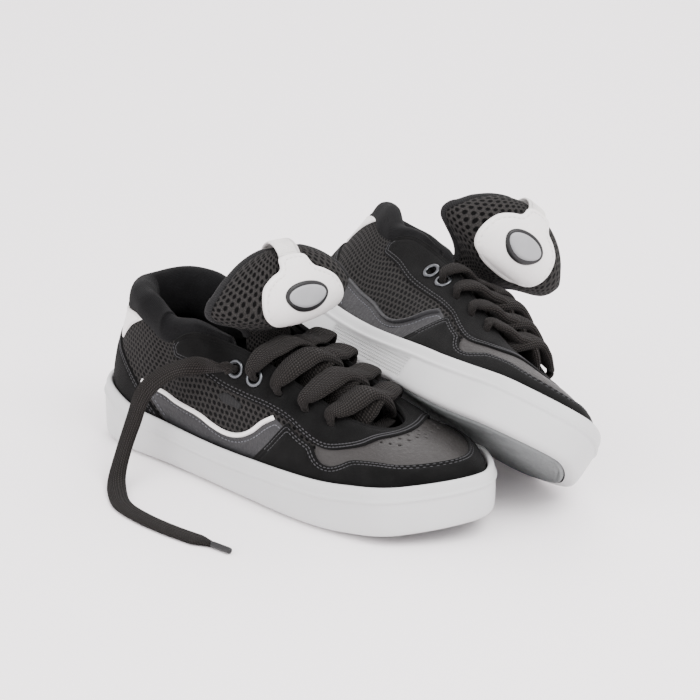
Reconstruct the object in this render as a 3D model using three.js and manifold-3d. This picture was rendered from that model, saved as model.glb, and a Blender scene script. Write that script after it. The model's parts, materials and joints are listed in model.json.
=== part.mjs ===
// A pair of low skate-style trainers: the right shoe stands flat, the left one leans its sole on it.
// Millimetres, +Z up. Each shoe is modelled as a right shoe in its own frame: +X to the outer side,
// +Y to the toe, the ground at Z 0. The left shoe is its mirror image, tipped into place.
import * as THREE from "three";
import { mergeVertices } from "three/addons/utils/BufferGeometryUtils.js";
import { LoftGeometry } from "three/addons/geometries/LoftGeometry.js";
import { ParametricGeometry } from "three/addons/geometries/ParametricGeometry.js";
import Module from "manifold-3d";

const wasm = await Module();
wasm.setup();

// ---- Driving dimensions ----
const SOLE_LENGTH = 300;
const BALL_WIDTH = 110; // across the sole's widest place
const HEEL_WIDTH = 83;
const COLLAR_HEIGHT = 94; // the padded collar's seam at the back of the heel
const INSTEP_HEIGHT = 92; // the throat's edge at the top eyelets
const THROAT_WIDTH = 50; // between the two facings at the top eyelets
const TOE_SPRING = 13; // how far the sole lifts at the toe
const SPRING_START = 50; // where the lift begins, ahead of mid-foot

const GAP = 0.4; // between pieces that touch on the real shoe
const LAYER_GAP = 0.7; // between layers of the upper
const WALL = 4.5; // cupsole side wall
const TREAD = 4;
const TREAD_PROUD = 1.5; // how far the tread stands below the side wall's foot
const TREAD_INSET = 8.5;
const MIDSOLE = 7;
const BOARD = 2;
const FOOTBED = 6.5;
const LINING = 1.8;
const CLOTH = 1.4; // quarter mesh, vamp and heel stiffener
const SUEDE = 2.2; // the outer layer of panels

const COLLAR_ROLL = 12; // how far the padded collar stands above its seam
const COLLAR_PAD = 9; // how thick it is inside

const EYELET_HOLE = 3.6; // radius
const EYELET_RING = 5.8; // outer radius of a metal eyelet
const LACE_WIDTH = 12;
const LACE_THICKNESS = 2.6;

const TONGUE_WIDTH = 86; // of its free end
const TONGUE_SIDE_ROOM = 25; // under the laces, from its edge to the sole's edge
const TONGUE_NECK_WIDTH = 38; // between the top eyelets
const TONGUE_TOP = 147; // height of its top end
const TONGUE_PAD = 22; // thickest place

const turn = 360;
const UP = new THREE.Vector3(0, 0, 1);
const halfLength = SOLE_LENGTH / 2;
const tongueBaseWidth = BALL_WIDTH - 2 * TONGUE_SIDE_ROOM;
const heelHalf = HEEL_WIDTH / 2;
const ballHalf = BALL_WIDTH / 2;
const throatHalf = THROAT_WIDTH / 2;

// Heights and layers that follow from the sizes above.
const floorBottom = TREAD + GAP;
const floorTop = floorBottom + MIDSOLE;
const boardBottom = floorTop + GAP;
const boardTop = boardBottom + BOARD;
const bedBottom = boardTop + GAP;
const bedTop = bedBottom + FOOTBED;
const outerLayer = [LAYER_GAP, LAYER_GAP + SUEDE];
const baseLayer = [-CLOTH, 0];
const liningLayer = [-CLOTH - LAYER_GAP - LINING, -CLOTH - LAYER_GAP];
const panelInset = WALL + GAP + outerLayer[1];
const boardInset = panelInset - liningLayer[0] + 2 * GAP;

// ---- The shoe's outer surface ----
// Stations round the upper, from the heel's centre line over the outer side to the toe.
// foot: the sole's edge, as a width and a share of the half length. top: the panels' upper edge.
// rise, reach and fall shape the profile between them.
const heel = { foot: [0, -1], top: [0, -0.87, COLLAR_HEIGHT], rise: 28, reach: 5, fall: 24 };
const outerSide = [
  { foot: [0.66 * heelHalf, -0.93], top: [0.6 * heelHalf, -0.77, 1.02 * COLLAR_HEIGHT], rise: 28,
    reach: 4, fall: 22 },
  { foot: [0.96 * heelHalf, -0.74], top: [0.81 * heelHalf, -0.65, 0.99 * COLLAR_HEIGHT], rise: 26,
    reach: 4, fall: 18 },
  { foot: [1.02 * heelHalf, -0.48], top: [0.87 * heelHalf, -0.49, 0.89 * COLLAR_HEIGHT], rise: 18,
    reach: 3, fall: 14 },
  { foot: [0.84 * ballHalf, -0.22], top: [1.28 * throatHalf, -0.32, INSTEP_HEIGHT], rise: 22, reach: 8,
    fall: 18 },
  { foot: [0.92 * ballHalf, 0.04], top: [throatHalf, -0.07, 0.93 * INSTEP_HEIGHT], rise: 24, reach: 16,
    fall: 16 },
  { foot: [0.99 * ballHalf, 0.3], top: [0.88 * throatHalf, 0.19, 0.78 * INSTEP_HEIGHT], rise: 20,
    reach: 16, fall: 12 },
  { foot: [0.97 * ballHalf, 0.56], top: [0.76 * throatHalf, 0.4, 0.64 * INSTEP_HEIGHT], rise: 16,
    reach: 18, fall: 5 },
  { foot: [0.78 * ballHalf, 0.8], top: [0.44 * throatHalf, 0.52, 0.58 * INSTEP_HEIGHT], rise: 15,
    reach: 22, fall: 3 },
];
const toe = { foot: [0, 1], top: [0, 0.55, 0.56 * INSTEP_HEIGHT], rise: 15, reach: 26, fall: 3 };
const INNER_SLIM = 0.94; // the sole's width on the inner side against the outer side
const mirrored = (s) => ({ ...s, foot: [-INNER_SLIM * s.foot[0], s.foot[1]],
  top: [-s.top[0], s.top[1], s.top[2]] });
const stations = [heel, ...outerSide, toe, ...outerSide.map(mirrored).reverse()];

const loopThrough = (points) => new THREE.CatmullRomCurve3(points, true, "catmullrom", 0.5);
const footCurve = loopThrough(stations.map((s) => new THREE.Vector3(s.foot[0], s.foot[1] * halfLength, 0)));
const topCurve = loopThrough(stations
  .map((s) => new THREE.Vector3(s.top[0], s.top[1] * halfLength, s.top[2])));
const shapeCurve = loopThrough(stations.map((s) => new THREE.Vector3(s.rise, s.reach, s.fall)));

const wrap = (t) => t - Math.floor(t);
const lift = (y) => TOE_SPRING * Math.max(0, (y - SPRING_START) / (halfLength - SPRING_START)) ** 2;

// The side wall's top edge: high at the heel, low at the waist, higher again at the toe.
const rimCurve = new THREE.SplineCurve([
  new THREE.Vector2(-1.1, 42), new THREE.Vector2(-0.9, 38), new THREE.Vector2(-0.66, 30.5),
    new THREE.Vector2(-0.2, 26.5),
  new THREE.Vector2(0.33, 30), new THREE.Vector2(0.73, 32), new THREE.Vector2(1.1, 29.5),
]);
const rimTable = rimCurve.getPoints(120);
const rimAt = (y) => {
  const s = y / halfLength;
  const i = rimTable.findIndex((p) => p.x > s);
  const [a, b] = [rimTable[i - 1], rimTable[i]];
  return a.y + ((b.y - a.y) * (s - a.x)) / (b.x - a.x);
};

// A point of the sole's outline at turn t (0 heel, 0.5 toe), moved inward by inset.
const outlineAt = (t, inset = 0) => {
  const along = footCurve.getPoint(wrap(t + 0.004)).sub(footCurve.getPoint(wrap(t - 0.004))).normalize();
  return footCurve.getPoint(wrap(t)).addScaledVector(new THREE.Vector3(-along.y, along.x, 0), inset);
};

// The upper's outer surface at turn t and height v: -1 on the board, 0 below the rim, 1 at the top edge.
const FEATHER_DEPTH = 7; // how far below the rim the outer panels reach
const surfaceAt = (t, v) => {
  const foot = outlineAt(t, panelInset);
  foot.z = rimAt(foot.y) - FEATHER_DEPTH;
  const top = topCurve.getPoint(wrap(t));
  const form = shapeCurve.getPoint(wrap(t));
  const out = foot.clone().sub(top).setZ(0).normalize();
  const low = foot.clone().addScaledVector(UP, form.x);
  const high = top.clone().addScaledVector(out, form.y).addScaledVector(UP, -form.z);
  const p = new THREE.CubicBezierCurve3(foot, low, high, top).getPoint(Math.min(1, Math.max(0, v)));
  if (v < 0) p.z += v * (foot.z - bedBottom);
  p.z += lift(p.y);
  return p;
};
const normalAt = (t, v) => {
  const c = Math.min(0.998, Math.max(0.002, v));
  const around = surfaceAt(t + 0.004, c).sub(surfaceAt(t - 0.004, c));
  const upward = surfaceAt(t, c + 0.002).sub(surfaceAt(t, c - 0.002));
  return around.cross(upward).normalize();
};
const skin = (t, v, depth) => surfaceAt(t, v).addScaledVector(normalAt(t, v), depth);

// ---- Solids ----
const bare = (geometry) => {
  const g = new THREE.BufferGeometry();
  g.setAttribute("position", geometry.attributes.position.clone());
  g.setIndex(geometry.index);
  return mergeVertices(g, 1e-3);
};
const solidOf = (geometry) => {
  const g = bare(geometry);
  const triVerts = new Uint32Array(g.index.array);
  return new wasm.Manifold(new wasm.Mesh({ numProp: 3, vertProperties: g.attributes.position.array,
    triVerts }));
};
const geometryOf = (solid) => {
  const mesh = solid.getMesh();
  const g = new THREE.BufferGeometry();
  g.setAttribute("position", new THREE.BufferAttribute(new Float32Array(mesh.vertProperties), 3));
  g.setIndex(new THREE.BufferAttribute(mesh.triVerts, 1));
  return g;
};
const moved = (geometry, mapping) => {
  const g = bare(geometry);
  const at = g.attributes.position;
  for (let i = 0; i < at.count; i++) {
    const p = mapping(at.getX(i), at.getY(i), at.getZ(i));
    at.setXYZ(i, p.x, p.y, p.z);
  }
  return g;
};
const outward = (geometry) => {
  const g = bare(geometry);
  if (solidOf(g).volume() < 0) g.setIndex(Array.from(g.index.array).reverse());
  return g;
};
const loft = (sections) => new LoftGeometry(sections, { capStart: true, capEnd: true });

// A ring swept right round the shoe: point(t, i) gives the i-th corner of its section at turn t.
const ring = (around, corners, point) =>
  new ParametricGeometry((u, v, target) =>
    target.copy(point(wrap(u), Math.round(v * corners) % corners)), around, corners);

// Patterns are cut flat, in degrees round the shoe and percent of its height, near their real size.
const FLAT_X = 2; // mm for each degree
const FLAT_Y = 0.8; // mm for each percent
const flat = ([degrees, percent]) => new THREE.Vector2(degrees * FLAT_X, percent * FLAT_Y);
const flip = (points) => points.map(([degrees, percent]) => [turn - degrees, percent]).reverse();
const smooth = (points, steps, closed = true) => {
  const curve = new THREE.CatmullRomCurve3(points.map((p) => new THREE.Vector3(p.x, p.y, 0)), closed,
    "centripetal");
  const out = curve.getPoints(steps * points.length).map((p) => new THREE.Vector2(p.x, p.y));
  return closed ? out.slice(0, -1) : out;
};
const boundsOf = (points) => new THREE.Box2().setFromPoints(points);

// A flat pattern of even thickness, cut along a grid so that every layer bends at the same lines.
const sheet = (points, [bottom, top], [stepX, stepY], mapping) => {
  const outline = new wasm.CrossSection([points.map((p) => [p.x, p.y])], "EvenOdd");
  const { min, max } = boundsOf(points);
  const corners = [];
  for (let i = Math.floor(min.x / stepX); i * stepX < max.x; i++) {
    for (let j = Math.floor(min.y / stepY); j * stepY < max.y; j++) {
      const cell = wasm.CrossSection.square([stepX, stepY]).translate([i * stepX, j * stepY]);
      for (const polygon of outline.intersect(cell).toPolygons()) {
        const loop = polygon.map(([x, y]) => new THREE.Vector2(x, y));
        for (const face of THREE.ShapeUtils.triangulateShape(loop, [])) corners.push(face
          .map((k) => loop[k]));
      }
    }
  }
  const key = (p) => `${p.x.toFixed(3)} ${p.y.toFixed(3)}`;
  const edges = new Set(corners.flatMap((f) => f.map((p, k) => `${key(p)}|${key(f[(k + 1) % 3])}`)));
  const faces = [];
  for (const f of corners) {
    faces.push(f.map((p) => [p, top]), f.toReversed().map((p) => [p, bottom]));
    f.forEach((p, k) => {
      const q = f[(k + 1) % 3];
      if (edges.has(`${key(q)}|${key(p)}`)) return;
      faces.push([[q, top], [p, top], [p, bottom]], [[q, top], [p, bottom], [q, bottom]]);
    });
  }
  const g = new THREE.BufferGeometry();
  g.setFromPoints(faces.flat().map(([p, z]) => new THREE.Vector3(p.x, p.y, z)));
  return moved(g, mapping);
};
const AROUND = 48; // facets right round the shoe
const LEVELS = 5; // and from the feather line to the top edge
const shoeGrid = [(turn / AROUND) * FLAT_X, (100 / LEVELS) * FLAT_Y];
const onShoe = (points, layer) =>
  sheet(points, layer, shoeGrid, (x, y, z) => skin(x / FLAT_X / turn, y / FLAT_Y / 100, z));
const panel = (points, layer = outerLayer) => onShoe(points.map(flat), layer);

// ---- Sole ----
const slab = (inset, bottom, top, count = 14) => {
  const sections = [];
  for (let k = 0; k <= count; k++) {
    const t = 0.012 + (0.476 * k) / count;
    const corner = (side, z) => {
      const p = outlineAt(side, inset);
      p.z = z + lift(p.y);
      return p;
    };
    sections.push([corner(t, bottom), corner(1 - t, bottom), corner(1 - t, top), corner(t, top)]);
  }
  return loft(sections);
};
const cupsole = () => {
  const BEAD_DROP = 8; // the moulded line below the rim
  const footWidth = TREAD_INSET - 3 * GAP;
  const corner = (t, i) => {
    const rim = rimAt(outlineAt(t).y);
    const [inset, z] = [
      [2.5, TREAD_PROUD], [0, TREAD_PROUD + 4], [0, rim - BEAD_DROP - 1], [-0.8, rim - BEAD_DROP],
      [0.2, rim - BEAD_DROP + 1.2], [1.4, rim], [WALL, rim - 0.6], [WALL, floorTop - 1],
      [footWidth, floorTop - 1], [footWidth, TREAD_PROUD],
    ][i];
    const p = outlineAt(t, inset);
    p.z = z + lift(p.y);
    return p;
  };
  return geometryOf(solidOf(ring(AROUND, 10, corner)).add(solidOf(slab(WALL + 1, floorBottom, floorTop))));
};

// ---- Upper ----
const EYELET_TURNS = [93.5, 101, 110.5, 121.5, 132.5];
const EYELET_LEVEL = 77;
const eyeletAt = (side, row) => {
  const t = side > 0 ? EYELET_TURNS[row] : turn - EYELET_TURNS[row];
  return { t: t / turn, v: EYELET_LEVEL / 100 };
};
const placedOnSkin = (geometry, { t, v }, depth) => {
  const facing = new THREE.Quaternion().setFromUnitVectors(UP, normalAt(t, v));
  return geometry.applyQuaternion(facing).translate(...skin(t, v, depth).toArray());
};
const drill = (side, row, radius) =>
  solidOf(placedOnSkin(new THREE.CylinderGeometry(radius, radius, 24, 8).rotateX(Math.PI / 2),
    eyeletAt(side, row), 0));
const punched = (geometry, places, radius = EYELET_HOLE) =>
  geometryOf(places.reduce((solid, [side, row]) => solid.subtract(drill(side, row, radius)),
    solidOf(geometry)));
const rowsOf = (side, rows) => rows.map((row) => [side, row]);

const liningShell = () => {
  const levels = [-1, ...Array.from({ length: LEVELS + 1 }, (_, k) => k / LEVELS)];
  const profile = [...levels.map((v) => [v, liningLayer[1]]),
    ...levels.toReversed().map((v) => [v, liningLayer[0]])];
  const shell = ring(AROUND, profile.length, (t, i) => skin(t, ...profile[i]));
  return punched(shell, [...rowsOf(1, [0, 1, 2, 3, 4]), ...rowsOf(-1, [0, 1, 2, 3, 4])], EYELET_HOLE + 1);
};
const CHANGEOVER = 127; // where the quarter mesh gives way to the vamp, under the toe cap
const HEEL_JOIN = 16; // where it gives way to the heel stiffener
const SEAM = 0.3; // degrees between panels of one layer
const FACING_OVERLAP = 66; // how high the mesh and the vamp run under the eyestay
const quarterMesh = (side) => {
  const outline = [
    [HEEL_JOIN + SEAM, 6], [CHANGEOVER - SEAM, 6], [CHANGEOVER - SEAM, 58], [116, FACING_OVERLAP],
      [86, FACING_OVERLAP],
    [76, 98], [HEEL_JOIN + SEAM, 98],
  ];
  return panel(side > 0 ? outline : flip(outline), baseLayer);
};
const vamp = () => {
  const half = [[CHANGEOVER + SEAM, 6], [CHANGEOVER + SEAM, 58], [148, FACING_OVERLAP + 4], [160, 88],
    [turn / 2, 92]].reverse();
  return panel([...half, ...flip(half).slice(0, -1)], baseLayer);
};
const heelStiffener = () => panel([[-HEEL_JOIN, 6], [HEEL_JOIN, 6], [HEEL_JOIN, 98], [-HEEL_JOIN, 98]],
  baseLayer);

const bothSides = (half) => [...half, ...flip(half)];
const eyestayLower = [
  [64, 92], [64, 78], [74, 68], [86, 57], [99, 55], [108, 56.5], [115, 56], [121, 50], [127, 45.5],
  [132, 46], [139, 53], [146, 62], [155, 76], [166, 84], [180, 87],
];
const eyestay = () => {
  const inner = [[180, 98], [150, 98], [110, 98], [90, 98], [68, 98]];
  const lower = bothSides(eyestayLower.slice(0, -1)).toSpliced(eyestayLower.length - 1, 0,
    eyestayLower.at(-1));
  const outline = [...lower, ...flip(inner).slice(0, -1), ...inner];
  return punched(panel(outline), [...rowsOf(1, [0, 1, 2, 3, 4]), ...rowsOf(-1, [0, 1, 2, 3, 4])]);
};
const toeCap = () => {
  const SHY = 1.6; // percent left between it and the eyestay
  const half = [
    [97, 3], [107, 29], [114.5, 54], [121, 48 - SHY], [126, 45 - SHY], [126.5, 38], [129, 30],
      [133, 29], [137, 34],
    [142, 42], [152, 44], [164, 39], [172, 37],
  ];
  return panel([[180, 3], [turn - 97, 3], ...flip(half).toReversed().slice(1), [180, 37],
    ...half.toReversed()].reverse());
};
const heelCounter = () => {
  const half = [[0, 76], [8, 68], [18, 60], [26, 52], [36, 42], [43, 33], [51, 20], [57, 6], [58, 3]];
  const other = half.slice(1).map(([degrees, percent]) => [-degrees, percent]).reverse();
  return panel([...half, [0, 3], ...other].reverse());
};
const heelTab = () => {
  const lower = [[0, 79], [9, 71], [18, 63], [25, 57], [32, 78], [38, 88], [43, 97]];
  const upper = [[36, 97], [20, 93], [0, 88]];
  const half = [...lower, ...upper];
  const other = half.slice(1, -1).map(([degrees, percent]) => [-degrees, percent]).reverse();
  return panel([...half, ...other].reverse());
};
const PIPING_LINE = [[46, 35.5], [56, 38], [66, 34], [75, 29], [81, 24], [87, 21.5], [93, 23.5],
  [99, 31], [104, 42], [109, 52]];
const PIPING_HALF = 1.5;
const offsetLine = (points, distance) =>
  points.map((p, i) => {
    const along = points[Math.min(i + 1,
      points.length - 1)].clone().sub(points[Math.max(i - 1, 0)]).normalize();
    return p.clone().add(new THREE.Vector2(-along.y, along.x).multiplyScalar(distance));
  });
const pipingLine = smooth(PIPING_LINE.map(flat), 2, false);
const handed = (side, points) =>
  (side > 0 ? points : points.map((p) => new THREE.Vector2(turn * FLAT_X - p.x, p.y)));
const piping = (side) => {
  const outline = [...offsetLine(pipingLine, -PIPING_HALF),
    ...offsetLine(pipingLine, PIPING_HALF).reverse()];
  return onShoe(handed(side, outline), [GAP, GAP + 2 * PIPING_HALF]);
};
const sidePanel = (side) => {
  const below = offsetLine(pipingLine, -PIPING_HALF - 2 * GAP);
  const end = [[113.4, 53], [106, 29], [96, 3], [59.3, 3], [58.3, 6], [52.3, 20], [46, 31]].map(flat);
  return onShoe(handed(side, [...below, ...end]), outerLayer);
};
const sideTag = () => {
  const outline = [[84.5, 50], [88, 54], [95, 50], [94, 44], [86, 45]];
  return panel(outline, [GAP, GAP + 1]);
};

// ---- Collar ----
const COLLAR_END = 92; // degrees each side of the heel where the roll runs out
const collar = () => {
  const sections = [];
  const count = 32;
  for (let k = 0; k <= count; k++) {
    const degrees = COLLAR_END - (2 * COLLAR_END * k) / count;
    const t = degrees / turn;
    const size = 1 - 0.66 * THREE.MathUtils.smoothstep(Math.abs(degrees), 55, COLLAR_END);
    const edge = surfaceAt(t, 1);
    const out = normalAt(t, 1);
    const up = edge.clone().sub(surfaceAt(t, 0.97)).normalize();
    const back = liningLayer[0] - 5 * GAP;
    const pad = back - COLLAR_PAD * size;
    const roll = COLLAR_ROLL * size;
    const section = [
      [0, 2 * GAP], [1.2 * size, 0.35 * roll], [-0.1 * COLLAR_PAD, 0.85 * roll], [0.5 * pad, roll],
        [0.9 * pad, 0.6 * roll],
      [pad, -4 * size], [0.9 * pad, -15 * size], [back - 1.5, -20 * size], [back, 4 * GAP],
    ];
    sections.push(section.map(([a, b]) => edge.clone().addScaledVector(out, a).addScaledVector(up, b)));
  }
  return loft(sections);
};

// ---- Tongue ----
// Its middle line from the toe end up under the laces, then up in front of the ankle.
const tonguePath = new THREE.CatmullRomCurve3([
  new THREE.Vector3(0, 78, 36), new THREE.Vector3(0, 60, 44), new THREE.Vector3(0, 36, 55.5),
    new THREE.Vector3(0, 12, 68),
  new THREE.Vector3(0, -8, 80), new THREE.Vector3(0, -15, 93), new THREE.Vector3(0, -9, 106),
    new THREE.Vector3(0, -3, 118),
  new THREE.Vector3(0, -5, 131), new THREE.Vector3(0, -13, TONGUE_TOP - 4),
], false, "centripetal");
const HINGE_SHARE = 0.615; // where the free end starts to flex, along the middle line
const tongueHalfWidth = (s) => {
  const base = (tongueBaseWidth / 2) * (0.6 + 0.4 * THREE.MathUtils.smoothstep(s, 0, 0.3));
  const neck = THREE.MathUtils.lerp(base, TONGUE_NECK_WIDTH / 2, THREE.MathUtils.smoothstep(s, 0.48, 0.6));
  return THREE.MathUtils.lerp(neck, TONGUE_WIDTH / 2, THREE.MathUtils.smoothstep(s, 0.66, 0.77));
};
const tongueHalfThickness = (s) => 3 + (TONGUE_PAD / 2 - 3) * THREE.MathUtils.smoothstep(s, 0.66, 0.8);
const tongueSag = (s) => THREE.MathUtils.lerp(0.026, 0.004, THREE.MathUtils.smoothstep(s, 0.6, 0.74));
const tongueFrame = (s) => {
  const along = tonguePath.getTangentAt(Math.min(1, Math.max(0, s)));
  return { origin: tonguePath.getPointAt(Math.min(1, Math.max(0, s))), along,
    out: new THREE.Vector3(0, along.z, -along.y) };
};
const tonguePoint = (s, across, height) => {
  const { origin, out } = tongueFrame(s);
  return origin.addScaledVector(out, height - tongueSag(s) * across ** 2).setX(across);
};
const tongueSection = (s, width = 1, thickness = 1) => {
  const count = 14;
  return Array.from({ length: count }, (_, k) => {
    const a = (2 * Math.PI * k) / count;
    const round = (c) => Math.sign(c) * Math.abs(c) ** 0.7;
    const across = tongueHalfWidth(s) * width * round(Math.cos(a));
    return tonguePoint(s, across, tongueHalfThickness(s) * thickness * round(Math.sin(a)));
  });
};
const tongueLength = tonguePath.getLength();
const wedge = 2.6 / tongueLength; // the two parts taper towards the flex line
const ridge = GAP / 2 / tongueLength;
const tongueLower = () => {
  const sections = [];
  for (let k = 0; k <= 10; k++) sections.push(tongueSection(((HINGE_SHARE - wedge) * k) / 10));
  sections.push(tongueSection(HINGE_SHARE - ridge, 0.96, 0.12));
  return loft(sections);
};
const tongueUpper = () => {
  const sections = [tongueSection(HINGE_SHARE + ridge, 0.96, 0.12)];
  const count = 9;
  for (let k = 0; k <= count; k++) {
    const share = k / count;
    const s = THREE.MathUtils.lerp(HINGE_SHARE + wedge, 1, share);
    const dome = Math.sqrt(1 - (Math.max(0, share - 0.25) / 0.79) ** 2);
    sections.push(tongueSection(s, dome, 0.35 + 0.65 * dome));
  }
  return loft(sections);
};
// Flat plates laid on the tongue's front face: x across, y along from the plate's own middle.
const onTongue = (points, middle, layer) =>
  sheet(points, layer, [8, 8], (x, y, z) => {
    const s = middle + y / tongueLength;
    const round = Math.max(0, 1 - (Math.abs(x) / tongueHalfWidth(s)) ** (1 / 0.35)) ** 0.35;
    return tonguePoint(s, x, tongueHalfThickness(s) * round + z);
  });
const BADGE_MIDDLE = 0.85;
const badge = () => {
  const outline = smooth([
    [0, -20], [17, -17.5], [27, -8], [26, 1], [16, 7], [9, 10], [8, 13], [-8, 13], [-9, 10], [-16, 7],
      [-26, 1], [-27, -8], [-17, -17.5],
  ].map((p) => new THREE.Vector2(...p)), 2);
  return onTongue(outline, BADGE_MIDDLE, [GAP + 0.6, GAP + 2.2]);
};
const emblem = () => {
  const outline = new THREE.EllipseCurve(0, 0, 13, 8.5).getPoints(20).slice(0, -1);
  return onTongue(outline, BADGE_MIDDLE, [2 * GAP + 2.2, 2 * GAP + 3.6]);
};
const pullLoop = () => {
  const LOOP_WIDTH = 16;
  const line = smooth([[2, 0.8], [0.5, 7], [-5, 12], [-13, 13], [-19, 9], [-22, 2], [-22, -5]].map(
    ([y, z]) => new THREE.Vector2(y, z + TONGUE_TOP - 10)), 2, false);
  const outline = [...offsetLine(line, 0.8), ...offsetLine(line, -0.8).reverse()];
  const strap = new THREE.ExtrudeGeometry(new THREE.Shape(outline),
    { depth: LOOP_WIDTH, bevelEnabled: false });
  return moved(strap.translate(0, 0, -LOOP_WIDTH / 2), (y, z, x) => new THREE.Vector3(x, y, z));
};

// ---- Laces ----
const laceThrough = (knots, steps) => {
  const curve = (pick) => new THREE.CatmullRomCurve3(knots.map(pick), false, "centripetal");
  const [place, upward, size] = [curve((k) => k.at), curve((k) => k.up),
    curve((k) => new THREE.Vector3(k.width, k.thick, 0))];
  const sections = [];
  for (let k = 0; k <= steps; k++) {
    const u = k / steps;
    const at = place.getPoint(u);
    const along = place.getTangent(u);
    const form = size.getPoint(u);
    const across = new THREE.Vector3().crossVectors(along, upward.getPoint(u)).normalize();
    const up = new THREE.Vector3().crossVectors(across, along);
    const section = [[1, -1], [-1, -1], [-1, 1], [1, 1]];
    sections.push(section.map(([a, b]) =>
      at.clone().addScaledVector(across, (a * form.x) / 2).addScaledVector(up, (b * form.y) / 2)));
  }
  return loft(sections);
};
const wide = { width: LACE_WIDTH, thick: LACE_THICKNESS };
const pinched = { width: 3.8, thick: 2 };
const overDepth = outerLayer[1] + 4 * GAP + LACE_THICKNESS / 2 + 0.6;
const underDepth = liningLayer[0] - GAP - LACE_THICKNESS / 2;
const throatEdge = (side, y, depth) => {
  let [low, high] = [0.2, 0.5];
  for (let i = 0; i < 16; i++) {
    const middle = (low + high) / 2;
    if (topCurve.getPoint(middle).y < y) low = middle;
    else high = middle;
  }
  return skin(side > 0 ? low : 1 - low, 0.995, depth);
};
const rowY = (row) => skin(eyeletAt(1, row).t, EYELET_LEVEL / 100, 0).y;
const CROWN_ROOM = 9.4; // under the highest strips, over the tongue
const laceCrown = CROWN_ROOM + LACE_THICKNESS;
const SLANT = 9; // each strip lands this much nearer the toe on its far side
const TUCK = 0.86; // a strip goes under the far facing this share of the way out
const towardsHeel = new THREE.Vector3(0, -1, 0);
const scaled = (v, k) => v.clone().multiplyScalar(k);
// The lace turns over each time it passes through an eyelet; face is 1 or -1 for the side that is up.
const intoHole = (side, row, face) => {
  const { t, v } = eyeletAt(side, row);
  const n = normalAt(t, v);
  const outwards = scaled(n.clone().cross(towardsHeel), side * face);
  return [
    { at: skin(t, v + 0.05, overDepth + 0.6), up: scaled(n, face), width: 7, thick: 2.4 },
    { at: skin(t, v, outerLayer[1] + 2), up: outwards, ...pinched },
    { at: skin(t, v, liningLayer[0]), up: outwards, ...pinched },
    { at: skin(t, v + 0.05, underDepth - 0.6), up: scaled(n, -face), width: 7, thick: 2.4 },
  ];
};
const strip = (side, row, face) => {
  const y = rowY(row);
  const [from, to] = [throatEdge(side, y, overDepth), throatEdge(-side, y + SLANT, underDepth - 2)];
  to.x *= TUCK;
  const crownAt = (share) => from.clone().lerp(to, share).setZ(0);
  const base = throatEdge(side, y + SLANT / 2, 0).z;
  const stack = side > 0 ? LACE_THICKNESS + 2 * GAP : 0;
  const mid = crownAt(0.5).setZ(base + laceCrown - 4 + stack);
  const early = crownAt(0.24).setZ(base + laceCrown - 6 + stack);
  const late = crownAt(0.76).setZ(base + laceCrown - 9.5 + stack);
  return [
    { at: from, up: new THREE.Vector3(0.5 * side * face, 0, face), ...wide },
    { at: early, up: scaled(UP, face), ...wide },
    { at: mid, up: scaled(UP, face), ...wide },
    { at: late, up: scaled(UP, face), ...wide },
    { at: to, up: new THREE.Vector3(-0.7 * side * face, 0, face), ...wide, width: 0.8 * LACE_WIDTH },
  ];
};
// From the bar under the throat's front, one end of the lace zigzags up to the second eyelets.
const zigzag = (firstSide) => {
  const knots = [];
  for (let row = 4, side = firstSide, face = 1; row >= 1; row--, side = -side, face = -face) {
    knots.push(...strip(side, row, face).reverse(), ...intoHole(side, row, face));
  }
  return knots;
};
const EXIT_DEPTH = outerLayer[1] + 4; // where the right shoe's lace becomes its loose end
const lace = (toTopEyelet) => {
  const top = eyeletAt(1, 0);
  const up = scaled(towardsHeel, -1);
  const tail = [EXIT_DEPTH, outerLayer[1] + 2, liningLayer[0]]
    .map((depth) => ({ at: skin(top.t, top.v, depth), up, ...pinched }));
  tail.push({ at: skin(top.t, top.v, underDepth - 1), up: normalAt(top.t, top.v), width: 5, thick: 2.2 });
  const whole = [...zigzag(-1).reverse(), ...zigzag(1)];
  return laceThrough(toTopEyelet ? [...tail, ...whole] : whole, toTopEyelet ? 118 : 112);
};

// The right shoe's loose end: out of the top outer eyelet, down the side and forward along the ground.
const CORD_RADIUS = 3.5; // a round cord of about the flat lace's section
const AGLET_RADIUS = 1.8;
const AGLET_LENGTH = 15;
const looseLine = () => {
  const top = eyeletAt(1, 0);
  const start = [EXIT_DEPTH + 2 * GAP, EXIT_DEPTH + 4].map((depth) => skin(top.t, top.v, depth));
  const route = [[44, -34, 77], [52, -47, 74], [58, -57, 68], [62, -69, 55], [64, -76, 36],
    [73, -77, 18], [85, -71, 6]];
  const ground = [[97, -58], [106, -44], [111, -24], [113, 2], [112.5, 24], [112, 36]]
    .map((p) => [...p, CORD_RADIUS + 0.1]);
  return new THREE.CatmullRomCurve3([...start,
    ...[...route, ...ground].map((p) => new THREE.Vector3(...p))], false, "centripetal");
};
const laceEnd = () => {
  const section = new THREE.Shape(new THREE.Path().absarc(0, 0, CORD_RADIUS, 0, 2 * Math.PI)
    .getPoints(4).slice(0, -1));
  return new THREE.ExtrudeGeometry(section, { steps: 36, bevelEnabled: false, extrudePath: looseLine() });
};
const aglet = () => {
  const line = looseLine();
  const tangent = line.getTangent(1).setZ(0).normalize();
  const rod = new THREE.CylinderGeometry(AGLET_RADIUS, AGLET_RADIUS, AGLET_LENGTH, 8);
  rod.applyQuaternion(new THREE.Quaternion().setFromUnitVectors(new THREE.Vector3(0, 1, 0), tangent));
  const middle = line.getPoint(1).addScaledVector(tangent, GAP + AGLET_LENGTH / 2);
  return rod.translate(...middle.toArray());
};

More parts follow.
